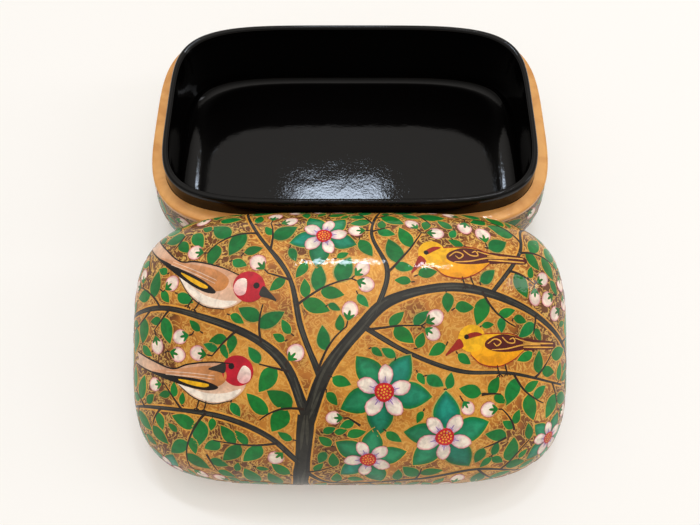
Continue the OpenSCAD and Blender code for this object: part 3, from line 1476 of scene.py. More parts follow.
@dataclass
class Garden:
    """Plans a flowering tree on a sheet, and keeps its marks, strokes and patches.

    Flowering and clusters are the chances of buds at a twig's tip and in a filling sprig.
    Room is what a twig needs free on both sides, and bark is where the streaks run across
    a branch and their hues.
    """

    sheet: Sheet
    low: tuple[float, float]
    high: tuple[float, float]
    seed: int
    margin: float = 2.0
    leaf_size: float = 1.04
    flowering: float = 0.95
    clusters: float = 0.65
    room: float = 2.3
    halo: float = 1.5
    knot: float = 0.13
    bark: tuple[tuple[float, Hue], ...] = (
        (-0.36, Hue.BARK_DARK), (-0.12, Hue.BARK_LIGHT), (0.14, Hue.BARK_LIGHT),
        (0.37, Hue.BARK_DARK))
    petals: int = 5
    petal_root: float = 1.7
    big_leaf_root: float = 3.5
    blossom_reach: float = 11.2
    fill_sizes: tuple[float, ...] = (1.0, 0.85, 0.7)
    marks: dict[Motif, list[Mark]] = field(default_factory=dict)
    broad: list[Ribbon] = field(default_factory=list)
    fine: list[Ribbon] = field(default_factory=list)
    patches: list[Patch] = field(default_factory=list)
    joints: list[tuple[np.ndarray, float, float]] = field(default_factory=list)

    def __post_init__(self) -> None:
        """Makes the grid, the seeded chance and the footprints of the motifs."""
        self.plot = Plot(self.sheet, self.low, self.high, self.margin)
        self.rng = random.Random(self.seed)
        shape = leaf_ring(LEAF_LENGTH, LEAF_WIDTH, 0.0, 0.15)
        self.leaf_take = filled(shape)
        self.leaf_test = self.leaf_take[self.leaf_take[:, 0] > 1.3]
        self.big_leaf_take = filled(leaf_ring(BIG_LENGTH, BIG_WIDTH, 0.0, 0.5))
        self.bud_test = filled(round_ring(BUD_RADIUS, 24))

    def mark(self, motif: Motif, place: np.ndarray, spin: float, size: tuple[float, float],
             tint: tuple[float, float, float] = (1.0, 1.0, 1.0)) -> None:
        """Notes one mark."""
        spot = (float(place[0]), float(place[1]))
        self.marks.setdefault(motif, []).append(Mark(spot, spin, size, tint))

    def leaf_tint(self) -> tuple[float, float, float]:
        """Gives a leaf's own shade between grass green and sea green."""
        sea = self.rng.random() ** 2
        light = self.rng.uniform(0.82, 1.18)
        return (light * (1 - 0.4 * sea), light, light * (1 + 0.7 * sea))

    def along(self, path: np.ndarray) -> np.ndarray:
        """Gives the unit direction at each point of a path."""
        step = np.gradient(path, axis=0)
        return step / np.maximum(np.hypot(*step.T), 1e-9)[:, None]

    def branch(self, control: list[tuple[float, float]], start: float, end: float) -> None:
        """Paints a main branch with bark streaks and a gold edge.

        Args:
            control: Points that it runs through.
            start: Its width where it starts.
            end: Its width at the other end.
        """
        path = smooth(control, 1.4)
        share = np.linspace(0, 1, len(path))
        knots = np.interp(share * 9, range(10), [self.rng.uniform(-1, 1) for _ in range(10)])
        widths = (start + (end - start) * share) * (1 + self.knot * knots)
        self.broad.append(Ribbon(path, widths + self.halo, Hue.HALO, Layer.HALO))
        self.broad.append(Ribbon(path, widths, Hue.BARK, Layer.BRANCH))
        aside = self.along(path)[:, ::-1] * [-1, 1]
        for lane, hue in self.bark:
            at = self.rng.randrange(6)
            while at < len(path) - 6:
                length = self.rng.randrange(8, 24)
                cut = slice(at, min(at + length, len(path)))
                drift = lane + self.rng.uniform(-0.1, 0.1) * np.linspace(-1, 1, len(path[cut]))
                streak = path[cut] + aside[cut] * (widths[cut] * drift)[:, None]
                thin = 0.2 * widths[cut] * np.sin(np.linspace(0.25, 2.9, len(streak)))
                if len(streak) > 3 and widths[cut].mean() > 1.4:
                    self.fine.append(Ribbon(streak, thin, hue, Layer.STREAK))
                at += length + self.rng.randrange(2, 12)
        for lane in np.linspace(-0.6, 0.6, 9):
            self.plot.take(path + aside * ((widths + 0.4) * lane)[:, None])
        heading = np.arctan2(*self.along(path).T[::-1])
        for k in range(2, len(path), 4):
            side = self.rng.choice((-1, 1))
            lean = self.rng.uniform(0.6, 1.15)
            self.joints.append((path[k], heading[k] + side * lean, widths[k] / 2 + 1.5))

    def leaf(self, at: np.ndarray, spin: float, size: float) -> bool:
        """Lays a leaf if there is room for it.

        Args:
            at: Where its stalk is.
            spin: The way it points.
            size: Its size, 1 being usual.

        Returns:
            Whether it was laid.
        """
        size *= self.leaf_size
        plump = self.rng.uniform(0.88, 1.12)
        scale = np.array([size, size * plump])
        if not self.plot.free(turn_by(self.leaf_test * scale, spin) + at):
            return False
        self.plot.take(turn_by(self.leaf_take * scale, spin) + at)
        motif = self.rng.choice((Motif.LEAF, Motif.LEAF_LEFT, Motif.LEAF_RIGHT))
        self.mark(motif, at, spin, tuple(scale), self.leaf_tint())
        return True

    def bud(self, at: np.ndarray, spin: float, size: float, stalk: float) -> bool:
        """Lays a stalk, a calyx and a bud if there is room.

        Args:
            at: Where the stalk starts.
            spin: The way it points.
            size: Size of the bud.
            stalk: Length of the stalk.

        Returns:
            Whether they were laid.
        """
        toward = np.array([math.cos(spin), math.sin(spin)])
        foot = at + toward * stalk
        middle = foot + toward * BUD_RADIUS * 1.02 * size
        if not self.plot.free(self.bud_test * size + middle):
            return False
        self.plot.take(self.bud_test * size * 1.05 + middle)
        path = smooth([at, (at + foot) / 2, foot + toward], 0.8)
        self.fine.append(Ribbon(path, np.full(len(path), 0.6), Hue.TWIG, Layer.TWIG))
        blush = self.rng.uniform(0.9, 1.0)
        self.mark(Motif.BUD, middle, spin, (size, size * self.rng.uniform(0.88, 1.0)),
                  (1.0, blush, blush))
        self.mark(Motif.CALYX, foot, spin, (size * 0.88, size * 0.88), self.leaf_tint())
        return True

    def trace(self, start: np.ndarray, heading: float, length: float,
              skip: float) -> np.ndarray:
        """Walks a gently bending path for as long as there is room on both sides.

        Args:
            start: Where it starts.
            heading: The way it sets out.
            length: How long it may become.
            skip: Length at its start that isn't tested, over what it grows from.

        Returns:
            Its points, 1 mm apart.
        """
        bend = self.rng.uniform(-0.05, 0.05)
        path = [np.array(start)]
        for k in range(int(length)):
            heading += bend + self.rng.gauss(0, 0.025)
            toward = np.array([math.cos(heading), math.sin(heading)])
            across = np.array([-toward[1], toward[0]])
            spot = path[-1] + toward
            probes = [spot + toward * 1.5 + across * self.room * lane for lane in (-1, 0, 1)]
            if k >= skip and not self.plot.free(np.array(probes)):
                break
            path.append(spot)
        return np.array(path)

    def twig(self, start: np.ndarray, heading: float, length: float,
             skip: float = 0.0) -> bool:
        """Grows a twig with leaves on both sides and a leaf or buds at its tip.

        Args:
            start: Where it leaves its branch.
            heading: The way it sets out.
            length: How long it may become.
            skip: Length at its start that lies over its branch.

        Returns:
            Whether there was room for it and for enough leaves.
        """
        rng = self.rng
        path = self.trace(start, heading, length, skip)
        if len(path) < skip + 7:
            return False
        before = self.plot.taken.copy(), dict(self.counts()), len(self.fine)
        direction = np.arctan2(*self.along(path).T[::-1])
        tip, laid = path[-1], 0
        if rng.random() < self.flowering:
            spread = rng.choice(((0.0,), (-0.6, 0.6), (-1.05, 0.0, 1.05), (-1.05, 0.0, 1.05)))
            for aside in spread:
                laid += self.bud(tip, direction[-1] + aside + rng.uniform(-0.1, 0.1),
                                 rng.uniform(0.88, 1.05), rng.uniform(2.4, 3.4))
        for aside in (0.0, 0.95, -0.95):
            way = aside + direction[-1]
            laid += self.leaf(tip, way, 1.1) or self.leaf(tip, way, 0.8)
        side = rng.choice((-1, 1))
        k = skip + rng.uniform(0.5, 2.0)
        offshoots = []
        while k < len(path) - 2.5:
            at, way = path[int(k)], direction[int(k)]
            for size in (1.2, 1.0, 0.82, 0.66):
                if self.leaf(at, way + side * rng.uniform(0.7, 1.1), size):
                    laid += 1
                    break
            else:
                offshoots.append((at, way + side * rng.uniform(0.6, 1.0), 2.0))
            side = -side
            k += rng.uniform(1.8, 3.0)
        if laid < max(2, (len(path) - skip) / 8):
            self.plot.taken = before[0]
            for motif, marks in self.marks.items():
                del marks[before[1].get(motif, 0):]
            del self.fine[before[2]:]
            return False
        widths = np.linspace(1.15, 0.55, len(path))
        self.fine.append(Ribbon(path, widths + 0.8, Hue.HALO, Layer.HALO))
        self.fine.append(Ribbon(path, widths, Hue.TWIG, Layer.TWIG))
        self.plot.take(path)
        self.joints += offshoots
        return True

    def counts(self) -> dict[Motif, int]:
        """Says how many marks of each motif there are."""
        return {motif: len(marks) for motif, marks in self.marks.items()}

    def blossom(self, place: tuple[float, float], size: float, spin: float,
                leaves: int = 5) -> None:
        """Paints an open blossom with big leaves behind it.

        Args:
            place: Its middle.
            size: Its size, 1 being usual.
            spin: How it is turned.
            leaves: Number of big leaves.
        """
        middle = np.array(place)
        for k in range(leaves):
            angle = spin + 0.62 + TURN * k / leaves + self.rng.uniform(-0.18, 0.18)
            toward = np.array([math.cos(angle), math.sin(angle)])
            long = size * self.rng.uniform(0.8, 1.02)
            root = middle + toward * self.big_leaf_root * size
            self.mark(Motif.BIG_LEAF, root, angle, (long, long), self.leaf_tint())
            self.plot.take(turn_by(self.big_leaf_take * long, angle) + root)
        for k in range(self.petals):
            angle = spin + TURN * k / self.petals + self.rng.uniform(-0.06, 0.06)
            toward = np.array([math.cos(angle), math.sin(angle)])
            petal = size * self.rng.uniform(0.94, 1.06)
            broad = petal * self.rng.uniform(0.88, 1.05)
            self.mark(Motif.PETAL, middle + toward * self.petal_root * size, angle,
                      (petal, broad))
            for lean in (-0.2, 0.0, 0.2):
                ends = [turn_by(np.array([[far * size, 0.0]]), angle + lean * near)[0] + middle
                        for far, near in ((2.8, 1.0), (6.2 - 8 * abs(lean), 0.8))]
                path = smooth(ends, 0.8)
                self.fine.append(Ribbon(path, np.linspace(0.9, 0.3, len(path)), Hue.VIOLET,
                                        Layer.VEIN))
        self.plot.take(filled(round_ring(self.blossom_reach * size, 30)) + middle)
        self.mark(Motif.HEART, middle, spin, (size, size))
        for count, radius in ((1, 0.0), (6, 1.2), (12, 2.5)):
            for k in range(count):
                angle = TURN * (k + 0.5 * (count == 12)) / count + spin
                spot = middle + radius * size * np.array([math.cos(angle), math.sin(angle)])
                self.mark(Motif.DOT, spot, 0.0, (size, size))

    def grow(self, rounds: int, longest: float) -> None:
        """Grows twigs from the joints of the branches, and from the twigs' own joints.

        Args:
            rounds: How many times the joints are gone through.
            longest: The longest that a twig may become.
        """
        for _ in range(rounds):
            joints, self.joints = self.joints, []
            self.rng.shuffle(joints)
            for at, heading, skip in joints:
                self.twig(at, heading, skip + self.rng.uniform(0.4, 1.0) * longest, skip)

    def fill(self, sprigs: int, leaves: int) -> None:
        """Fills what room is left, with short sprigs and then with single leaves.

        Args:
            sprigs: Number of tries with a sprig.
            leaves: Number of tries with a leaf or a bud of each size.
        """
        for _ in range(sprigs):
            at = self.plot.any_free(self.rng)
            self.twig(at, self.rng.uniform(0, TURN), self.rng.uniform(8, 13))
        for size in self.fill_sizes:
            for _ in range(leaves):
                at, spin = self.plot.any_free(self.rng), self.rng.uniform(0, TURN)
                laid = 0
                if self.rng.random() < self.clusters:
                    for aside in (0.0, 1.1, -1.1):
                        laid += self.bud(at, spin + aside, min(1.0, 1.2 * size), 2.2)
                    leaf_size = 0.8 * size
                else:
                    leaf_size = size
                for aside in (0.0, 0.95, -0.95):
                    laid += self.leaf(at, spin + aside, leaf_size)
                if laid:
                    back = spin + self.rng.uniform(-0.4, 0.4)
                    toward = np.array([math.cos(back), math.sin(back)])
                    toward = toward * size
                    stalk = smooth([at, at - 0.9 * toward, at - 1.8 * toward], 0.8)
                    self.fine.append(Ribbon(stalk, np.full(len(stalk), 0.55), Hue.TWIG,
                                            Layer.TWIG))

    def paint(self, name: str, material: Material, slot: str) -> None:
        """Lays the planned painting on the box.

        Args:
            name: First word of the pieces' names.
            material: The paint.
            slot: Material slot of the record.
        """
        brush = Brush(self.sheet, make_stamps(), material)
        brush.lay(name + "_branches", [brush.ribbons(self.broad, True),
                                       brush.ribbons(self.fine, False)], slot)
        brush.lay(name + "_leaves_and_flowers",
                  [brush.marks(motif, marks) for motif, marks in self.marks.items()], slot)
        if self.patches:
            brush.lay(name + "_birds", [brush.patch(p) for p in self.patches], slot)


@dataclass(frozen=True)
class Feather:
    """One filled shape of a bird, which can shade to another hue or turn with the head."""

    outline: list | np.ndarray
    hue: Hue
    layer: Layer
    other: Hue | None = None
    toward: tuple[float, float] = (0.0, -1.0)
    on_head: bool = False
    keeps_clear: bool = False


@dataclass(frozen=True)
class Drawing:
    """A songbird in millimetres, facing +X with its back up.

    Its strokes are paths with a width and a hue, and feet is where its legs start.
    """

    neck: tuple[float, float]
    feet: tuple[float, float]
    feathers: tuple[Feather, ...]
    strokes: tuple[tuple[list, float, Hue], ...]


class Species(Enum):
    """The two kinds of songbird in the painting.

    The finch has a buff back, a cream belly, a crimson face and a black and yellow wing.
    The oriole is golden yellow, with a maroon tail and wing full of gold scrolls.
    """

    FINCH = Drawing((21.0, 4.0), (6.0, -7.6), (
        Feather([(-8, 2.2), (-20, 3.4), (-31, 4.8), (-29.5, 2.2), (-31.5, 0.2), (-19, -0.9),
                 (-9, -1.8)], Hue.BUFF, Layer.TAIL, Hue.BUFF_PALE, (-1, 0), keeps_clear=True),
        Feather([(-9, 1.5), (-2, 5.0), (7, 7.4), (15, 8.2), (21, 6.5), (23, 1), (18.5, -5),
                 (10, -8), (1, -6.6), (-6, -3)], Hue.BUFF, Layer.BODY, Hue.BUFF_PALE,
                keeps_clear=True),
        Feather([(-6, -2.6), (1, -6.1), (10, -7.5), (17.8, -4.9), (21.5, -0.5), (15.5, -3.0),
                 (8, -4.4), (0, -3.6)], Hue.CREAM, Layer.WING),
        Feather([(14, 5.4), (7, 6.2), (-2, 4.0), (-11, 1.6), (-20, -0.8), (-9, -2.2),
                 (2, -2.8), (10, -1.8), (14.5, 1.2)], Hue.RUST, Layer.WING, Hue.BUFF,
                (-1, 0.3), keeps_clear=True),
        Feather([(4, 0.4), (-8, -0.2), (-21, -1.1), (-9, -2.7), (2, -3.6), (9, -3.1),
                 (12, -1.2)], Hue.BLACK, Layer.DETAIL),
        Feather([(8, -0.9), (1, -0.8), (-6, -1.3), (0, -2.4), (6.5, -2.3)], Hue.YELLOW,
                Layer.FINE),
        Feather(round_ring(5.9, 14) * [1.08, 1.0] + [23.0, 6.2], Hue.CRIMSON, Layer.WING,
                on_head=True, keeps_clear=True),
        Feather([(17.8, 7.0), (20.6, 8.6), (22.2, 6.0), (22.6, 3.0), (20.2, 1.6), (17.6, 3.4)],
                Hue.CREAM, Layer.DETAIL, Hue.PINK, on_head=True),
        Feather([(28.2, 8.4), (31.6, 7.0), (35.2, 5.0), (31.4, 4.7), (28.0, 4.6)], Hue.BARK,
                Layer.DETAIL, on_head=True, keeps_clear=True),
        Feather(round_ring(1.25, 9) + [25.6, 7.6], Hue.BLACK, Layer.FINE, on_head=True)), (
        ([(17, 8.6), (8, 7.9), (-2, 5.4), (-9, 2.4), (-20, 3.7), (-31, 5.2)], 0.6, Hue.BLACK),
        ([(-9, -2.2), (-20, -1.2), (-31, 0.0)], 0.5, Hue.BLACK),
        ([(-5, -3.6), (2, -7.1), (10, -8.3), (18, -5.6)], 0.4, Hue.BARK),
        ([(10, 1.5), (0, 0.9), (-12, -0.5)], 0.35, Hue.BUFF_PALE),
        ([(10, 2.8), (0, 2.2), (-12, 0.8)], 0.35, Hue.BUFF_PALE)))

    ORIOLE = Drawing((11.5, 3.5), (3.0, -6.0), (
        Feather([(-7, 1.8), (-14, 0.7), (-23, -1.6), (-22, -4.0), (-13, -2.8), (-7, -2.2)],
                Hue.MAROON, Layer.TAIL, keeps_clear=True),
        Feather([(-8, 0.9), (-3, 4.0), (3, 5.2), (9, 5.6), (13.8, 3.2), (14.2, -1),
                 (10.4, -4.8), (4, -6.4), (-2, -5.0), (-7, -2.2)], Hue.YELLOW, Layer.BODY,
                Hue.ORIOLE, keeps_clear=True),
        Feather([(7.6, 3.6), (2, 4.9), (-4, 3.5), (-10, 1.1), (-16, -1.2), (-8, -1.9),
                 (-1, -1.9), (5, -0.9), (8.6, 1.2)], Hue.MAROON, Layer.WING, keeps_clear=True),
        Feather(round_ring(4.9, 14) * [1.05, 1.0] + [13.0, 5.4], Hue.YELLOW, Layer.WING,
                on_head=True, keeps_clear=True),
        Feather([(17.3, 7.2), (20.6, 5.8), (24.6, 3.6), (20.6, 3.9), (17.0, 3.9)], Hue.BEAK,
                Layer.DETAIL, on_head=True, keeps_clear=True),
        Feather([(8.6, 4.9), (10.8, 6.9), (14.4, 7.4), (15.2, 6.0), (11.8, 5.4)], Hue.BEAK,
                Layer.DETAIL, on_head=True),
        Feather(round_ring(0.95, 9) + [14.6, 6.7], Hue.BLACK, Layer.FINE, on_head=True)), (
        ([(7.6, 2.2), (4.6, 3.6), (2.2, 2.2), (4.0, 0.9), (5.2, 2.2)], 0.5, Hue.SCROLL),
        ([(1.6, 3.9), (-0.6, 1.6), (-3.4, 1.2), (-3.0, 3.0), (-1.4, 2.6)], 0.5, Hue.SCROLL),
        ([(6.2, -0.2), (0, -0.6), (-7, -0.2), (-15, -1.3)], 0.5, Hue.SCROLL),
        ([(-3.6, 2.9), (-8, 1.0), (-13, -0.5)], 0.5, Hue.SCROLL),
        ([(-7, 0.5), (-14, -0.6), (-22, -1.9)], 0.6, Hue.SCROLL),
        ([(-7, -1.0), (-14, -2.1), (-22, -3.4)], 0.6, Hue.SCROLL),
        ([(-6.9, -2.45), (-1.9, -5.25), (4.1, -6.65), (10.5, -5.05), (14.3, -1.25)], 0.35,
         Hue.BEAK),
        ([(-8.1, 1.15), (-3.1, 4.25), (2.9, 5.45), (8.9, 5.85)], 0.35, Hue.BEAK)))


@dataclass(frozen=True)
class Bird:
    """A perched songbird: its drawing, turned and moved into its place."""

    species: Species
    place: tuple[float, float]
    spin: float = 0.0
    flip: bool = False
    size: float = 1.0
    nod: float = 0.0
    looks_back: bool = False

    def posed(self, points: list | np.ndarray) -> np.ndarray:
        """Puts points of the drawing where the bird sits.

        Args:
            points: Points of the drawing.

        Returns:
            The points on the sheet.
        """
        spots = np.array(points, dtype=float) * self.size
        if self.flip:
            spots = spots * [-1, 1]
        return turn_by(spots, self.spin) + np.array(self.place)

    def head(self, points: list | np.ndarray, neck: tuple[float, float]) -> np.ndarray:
        """Turns points of the head about the neck before they are put in place.

        Args:
            points: Points of the head, in the drawing.
            neck: Where the head turns.

        Returns:
            The points on the sheet.
        """
        spots = np.array(points, dtype=float) - neck
        if self.looks_back:
            spots = spots * [-1, 1]
        return self.posed(turn_by(spots, self.nod) + np.array(neck))

    def line(self, garden: Garden, path: list, width: float, hue: Hue) -> None:
        """Adds one fine stroke, thinner at both ends."""
        spots = smooth(self.posed(path), 0.9)
        widths = width * np.sin(np.linspace(0.5, math.pi - 0.5, len(spots))) ** 0.6
        garden.fine.append(Ribbon(spots, widths * self.size, hue, Layer.FINE))

    def legs(self, garden: Garden, x: float, y: float) -> None:
        """Draws two thin legs with curled toes.

        Args:
            garden: The painting.
            x: How far forward the legs start.
            y: How high they start.
        """
        for step in (-1.6, 1.6):
            foot = (x + step - 0.6, y - 3.6)
            self.line(garden, [(x + step, y), (x + step - 0.2, y - 1.8), foot], 0.5, Hue.TWIG)
            for toe in (-1.2, 0.2, 1.3):
                self.line(garden, [foot, (foot[0] + toe * 0.6, foot[1] - 0.3),
                                   (foot[0] + toe, foot[1] - 1.0)], 0.4, Hue.TWIG)

    def draw(self, garden: Garden) -> None:
        """Draws the bird's filled shapes, its strokes and its legs, and keeps its room.

        Args:
            garden: The painting.
        """
        drawing = self.species.value
        for feather in drawing.feathers:
            if feather.on_head:
                outline = self.head(feather.outline, drawing.neck)
            else:
                outline = self.posed(feather.outline)
            toward = np.array([feather.toward]) * [-1 if self.flip else 1, 1]
            garden.patches.append(Patch(outline, feather.hue, feather.layer, feather.other,
                                        tuple(turn_by(toward, self.spin)[0])))
            if feather.keeps_clear:
                garden.plot.take_shape(outline)
        for path, width, hue in drawing.strokes:
            self.line(garden, path, width, hue)
        self.legs(garden, *drawing.feet)


def plan_lid() -> Garden:
    """Plans the lid: a tree that forks over it, four birds, blossoms and leaves.

    Returns:
        The planned painting.
    """
    garden = Garden(DomeSheet(FORM, PLACE), (-132, -96), (132, 96), seed=11)
    for bird in (
            Bird(Species.FINCH, (-68, 34), -0.46, size=1.1, nod=0.1),
            Bird(Species.FINCH, (-68, -10), -0.12, size=1.08, looks_back=True),
            Bird(Species.ORIOLE, (52, 41), 0.12, flip=True, size=1.16, nod=-0.5),
            Bird(Species.ORIOLE, (67, 3.5), 0.1, flip=True, size=1.16, nod=-0.3)):
        bird.draw(garden)
    for place, size, spin in (((14, -14), 1.05, 0.3), ((40, -34), 1.05, 1.0),
                              ((8, -46), 0.95, 0.75), ((-12, 54), 0.95, 0.1),
                              ((92, -40), 0.8, 0.5), ((-88, -58), 0.8, 0.2)):
        garden.blossom(place, size, spin)
    garden.branch([(-26, -92), (-25, -70), (-21, -48), (-18, -24)], 8.0, 6.6)
    garden.branch([(-18, -28), (-10, -6), (4, 12), (18, 24), (45, 29), (74, 21), (98, 6),
                   (114, -12)], 5.8, 1.8)
    garden.branch([(-18, -24), (-26, -4), (-40, 8), (-62, 16), (-86, 20), (-116, 14)],
                  4.6, 1.4)
    garden.branch([(-12, -8), (-20, 12), (-26, 34), (-42, 54), (-58, 76)], 2.9, 1.0)
    garden.branch([(-22, -48), (-34, -34), (-52, -26), (-74, -24), (-98, -26), (-120, -34)],
                  3.2, 1.0)
    garden.branch([(-22, -52), (-6, -66), (30, -60), (58, -52), (90, -60)], 2.6, 1.0)
    garden.branch([(10, 17), (16, 36), (10, 56), (18, 80)], 2.6, 0.9)
    garden.branch([(60, 26), (76, 44), (84, 58), (104, 62)], 2.0, 0.9)
    garden.branch([(5, 13), (24, 2), (46, -6), (70, -8), (100, -16)], 2.3, 0.9)
    garden.grow(8, 30)
    garden.fill(150, 500)
    return garden


def plan_wall() -> Garden:
    """Plans the base's wall: two long waving branches with leaves, buds and blossoms.

    Returns:
        The planned painting.
    """
    sheet = WallSheet(FORM)
    garden = Garden(sheet, (0, 0), (math.ceil(sheet.length), 43), seed=5, margin=1.5)
    count = 9
    for k in range(count):
        at = sheet.length * (k + 0.6) / count
        garden.blossom((at, 22 + 5 * math.sin(2.4 * k)), 0.72, 0.4 * k, leaves=4)
    for phase, width in ((0.0, 2.6), (math.pi, 1.8)):
        spots = np.linspace(2, sheet.length - 2, 34)
        garden.branch([(x, 22 + 9 * math.sin(TURN * 7 * x / sheet.length + phase))
                       for x in spots], width, width)
    garden.grow(4, 20)
    garden.fill(500, 400)
    return garden


# The pieces


@dataclass
class Base:
    """The box's base: a painted outer shell, a board, a gold ledge and a black tray."""

    form: BoxForm
    wall_rings: int = 30
    floor_rings: int = 6
    end_spread: float = 2.0
    hidden_flange: float = 10.0

    def shell(self, material: Material) -> Object:
        """Builds the bulging outer shell with its foot.

        Args:
            material: The ground that the wall is painted with.

        Returns:
            The piece.
        """
        form = self.form
        steps = np.linspace(0, 1, self.wall_rings) ** 1.5 * form.strip_base
        insets = form.wall_inset(steps) + SINK
        profile = [(form.outline.inset(by), z) for by, z in zip(insets, steps)]
        hollow = form.lip_outline.inset(form.ledge_width - form.glue_film)
        flange = form.lip_outline.inset(form.foot_flange + self.hidden_flange)
        foot = form.lip_outline.inset(form.ledge_width - form.glue_film - form.tray_flare)
        profile += [(hollow, form.strip_base), (foot, form.bottom_thickness),
                    (flange, form.bottom_thickness), (flange, 0.0)]
        return Hoop().build("base_shell_skin", profile, material)

    def ledge(self, material: Material) -> Object:
        """Builds the gold ledge with its softened outer edge.

        Args:
            material: Gold paint.

        Returns:
            The piece.
        """
        form = self.form
        low, top, bevel = form.strip_base, form.ledge_height, form.ledge_bevel
        profile = [(form.outline, low), (form.outline, top - bevel)]
        for angle in np.linspace(0.35, QUARTER - 0.2, 4):
            profile.append((form.outline.inset(bevel * (1 - math.cos(angle))),
                            top - bevel * (1 - math.sin(angle))))
        profile.append((form.outline.inset(bevel * 1.3), top))
        for by in (form.ledge_width - 1.2, form.ledge_width - 0.5,
                   form.ledge_width - form.glue_film):
            profile.append((form.lip_outline.inset(by), top))
        profile.append((form.lip_outline.inset(form.ledge_width - form.glue_film), low))
        return Hoop().build("gold_ledge_strip", profile, material, sharp=50)

    def tray(self, material: Material) -> Object:
        """Builds the tray as one skin: lip, inner wall, coved corner and floor.

        Args:
            material: Black lacquer.

        Returns:
            The piece.
        """
        form = self.form
        lip = form.lip_outline
        ledge, wide = form.ledge_width, form.tray_wall_thickness
        radius = wide / 2
        round_z = form.ledge_height + form.lip_height - radius
        low, floor = form.bottom_thickness, form.bottom_thickness + form.tray_floor_thickness
        profile = [(ledge - form.tray_flare, low), (ledge, form.strip_base),
                   (ledge, form.ledge_height)]
        for share in (0.35, 0.7):
            profile.append((ledge + form.lip_lean * share,
                            form.ledge_height + (round_z - form.ledge_height) * share))
        for angle in np.linspace(0, math.pi, 9):
            profile.append((ledge + form.lip_lean + radius * (1 - math.cos(angle)),
                            round_z + radius * math.sin(angle)))
        inner = ledge + form.lip_lean + wide
        cove = form.cove_radius
        for share in np.linspace(0, 1, 7)[1:]:
            profile.append((inner - form.tray_flare * share,
                            round_z + (floor + cove - round_z) * share))
        inner -= form.tray_flare
        hoop = Hoop()
        rings = [hoop.ring(lip.inset(by), z) for by, z in profile]
        for angle in np.linspace(0, QUARTER, 11)[1:]:
            by, z = cove * (1 - math.cos(angle)), floor + cove * (1 - math.sin(angle))
            end = lip.inset(inner + by)
            spread = SquaredOval(end.half_length - (self.end_spread - 1) * by,
                                 end.half_width, end.end_squareness, end.side_squareness)
            rings.append(hoop.ring(spread, z))
        edge = rings[-1]
        for k in range(1, self.floor_rings):
            share = 1 - k / self.floor_rings
            rings.append(edge * [share, share, 0] + [0, 0, floor])
        points = np.vstack(rings + [[[0, 0, floor]], [[0, 0, low]]])
        faces = hoop.faces(len(rings), False)
        last, n = (len(rings) - 1) * hoop.around, hoop.around
        top, bottom = len(points) - 2, len(points) - 1
        for i in range(n):
            j = (i + 1) % n
            faces.append([last + i, last + j, top])
            faces.append([j, i, bottom])
        piece = as_object("black_tray_skin", points, faces, material)
        crisp(piece, 50)
        return piece

    def build(self, ground: GoldGround, gold: GoldPaint, black: BlackLacquer,
              board: BlackLacquer) -> None:
        """Builds and dresses the base's pieces.

        Args:
            ground: Ground of the painted wall.
            gold: Paint of the ledge.
            black: Lacquer of the tray.
            board: Lacquer of the board underneath.
        """
        finish(self.shell(ground.build()), Body.BASE, "painted_base", "base_shell")
        finish(self.ledge(gold.build()), Body.BASE, "gold_ledge", "ledge_strip")
        finish(self.tray(black.build()), Body.BASE, "black_tray", "tray_wall", "tray_floor")
        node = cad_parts["bottom_board"]
        node.data.materials.clear()
        node.data.materials.append(board.build())
        LOG.info("bottom_board: the solid's own faces, lacquered")


@dataclass
class Lid:
    """The leaning lid: a painted domed shell, a gold rim and a black lining."""

    form: BoxForm
    place: LidPlace
    rim_round: float = 0.7
    rim_inner_round: float = 0.35

    def dome(self, name: str, outer: tuple[SquaredOval, float],
             inner: tuple[SquaredOval, float],
             material: Material) -> Object:
        """Builds one domed piece and lays it in its place.

        Args:
            name: Name of the piece.
            outer: Outline and height of its outside.
            inner: Outline and height of its inside.
            material: The piece's material.

        Returns:
            The piece.
        """
        form = self.form
        shape = SquaredDome(outer[0], outer[1], inner[0], inner[1], form.lid_strip_height,
                            form.crown_flatness, form.side_rise)
        points, faces = mesh_arrays(shape.build(name + "_rule", material))
        piece = as_object(name, self.place.placed(points), faces, material)
        crisp(piece, 50)
        return piece

    def rim(self, material: Material) -> Object:
        """Builds the gold strip on the lid's edge.

        Args:
            material: Gold paint.

        Returns:
            The piece.
        """
        form = self.form
        high = form.lid_strip_height
        inner = form.lip_outline.inset(form.ledge_width - form.lid_clearance)
        within = form.lip_outline.inset(5.8)
        most = self.rim_round
        profile = [(inner, self.rim_inner_round), (within, 0.0),
                   (form.outline.inset(most), 0.0), (form.outline.inset(0.2), 0.2),
                   (form.outline, most), (form.outline, high), (inner, high)]
        piece = Hoop().build("gold_lid_rim", profile, material, sharp=50)
        flat = np.array([v.co for v in piece.data.vertices]) / MM
        piece.data.vertices.foreach_set("co", (self.place.placed(flat) * MM).ravel())
        piece.data.update()
        return piece

    def build(self, ground: GoldGround, gold: GoldPaint, lining: BlackLacquer) -> None:
        """Builds and dresses the lid's pieces.

        Args:
            ground: Ground of the painted dome.
            gold: Paint of the rim.
            lining: Lacquer of the inside.
        """
        form = self.form
        lip = form.lip_outline
        shell_inset = form.ledge_width - form.lid_clearance - form.lining_thickness
        outer = (form.outline.inset(SINK), form.lid_height - SINK)
        inner = (lip.inset(shell_inset), form.lid_height - form.lid_thickness)
        finish(self.dome("lid_shell_skin", outer, inner, ground.build()),
               Body.LID, "painted_lid", "lid_shell")
        outer = (lip.inset(shell_inset + form.glue_film),
                 form.lid_height - form.lid_thickness - form.glue_film)
        inner = (lip.inset(shell_inset + form.lining_thickness),
                 form.lid_height - form.lid_thickness - form.glue_film
                 - form.lining_thickness)
        finish(self.dome("lid_lining_skin", outer, inner, lining.build()),
               Body.LID, "black_lining", "lid_lining")
        finish(self.rim(gold.build()), Body.LID, "gold_rim", "lid_rim_strip")


# Floor, light and camera


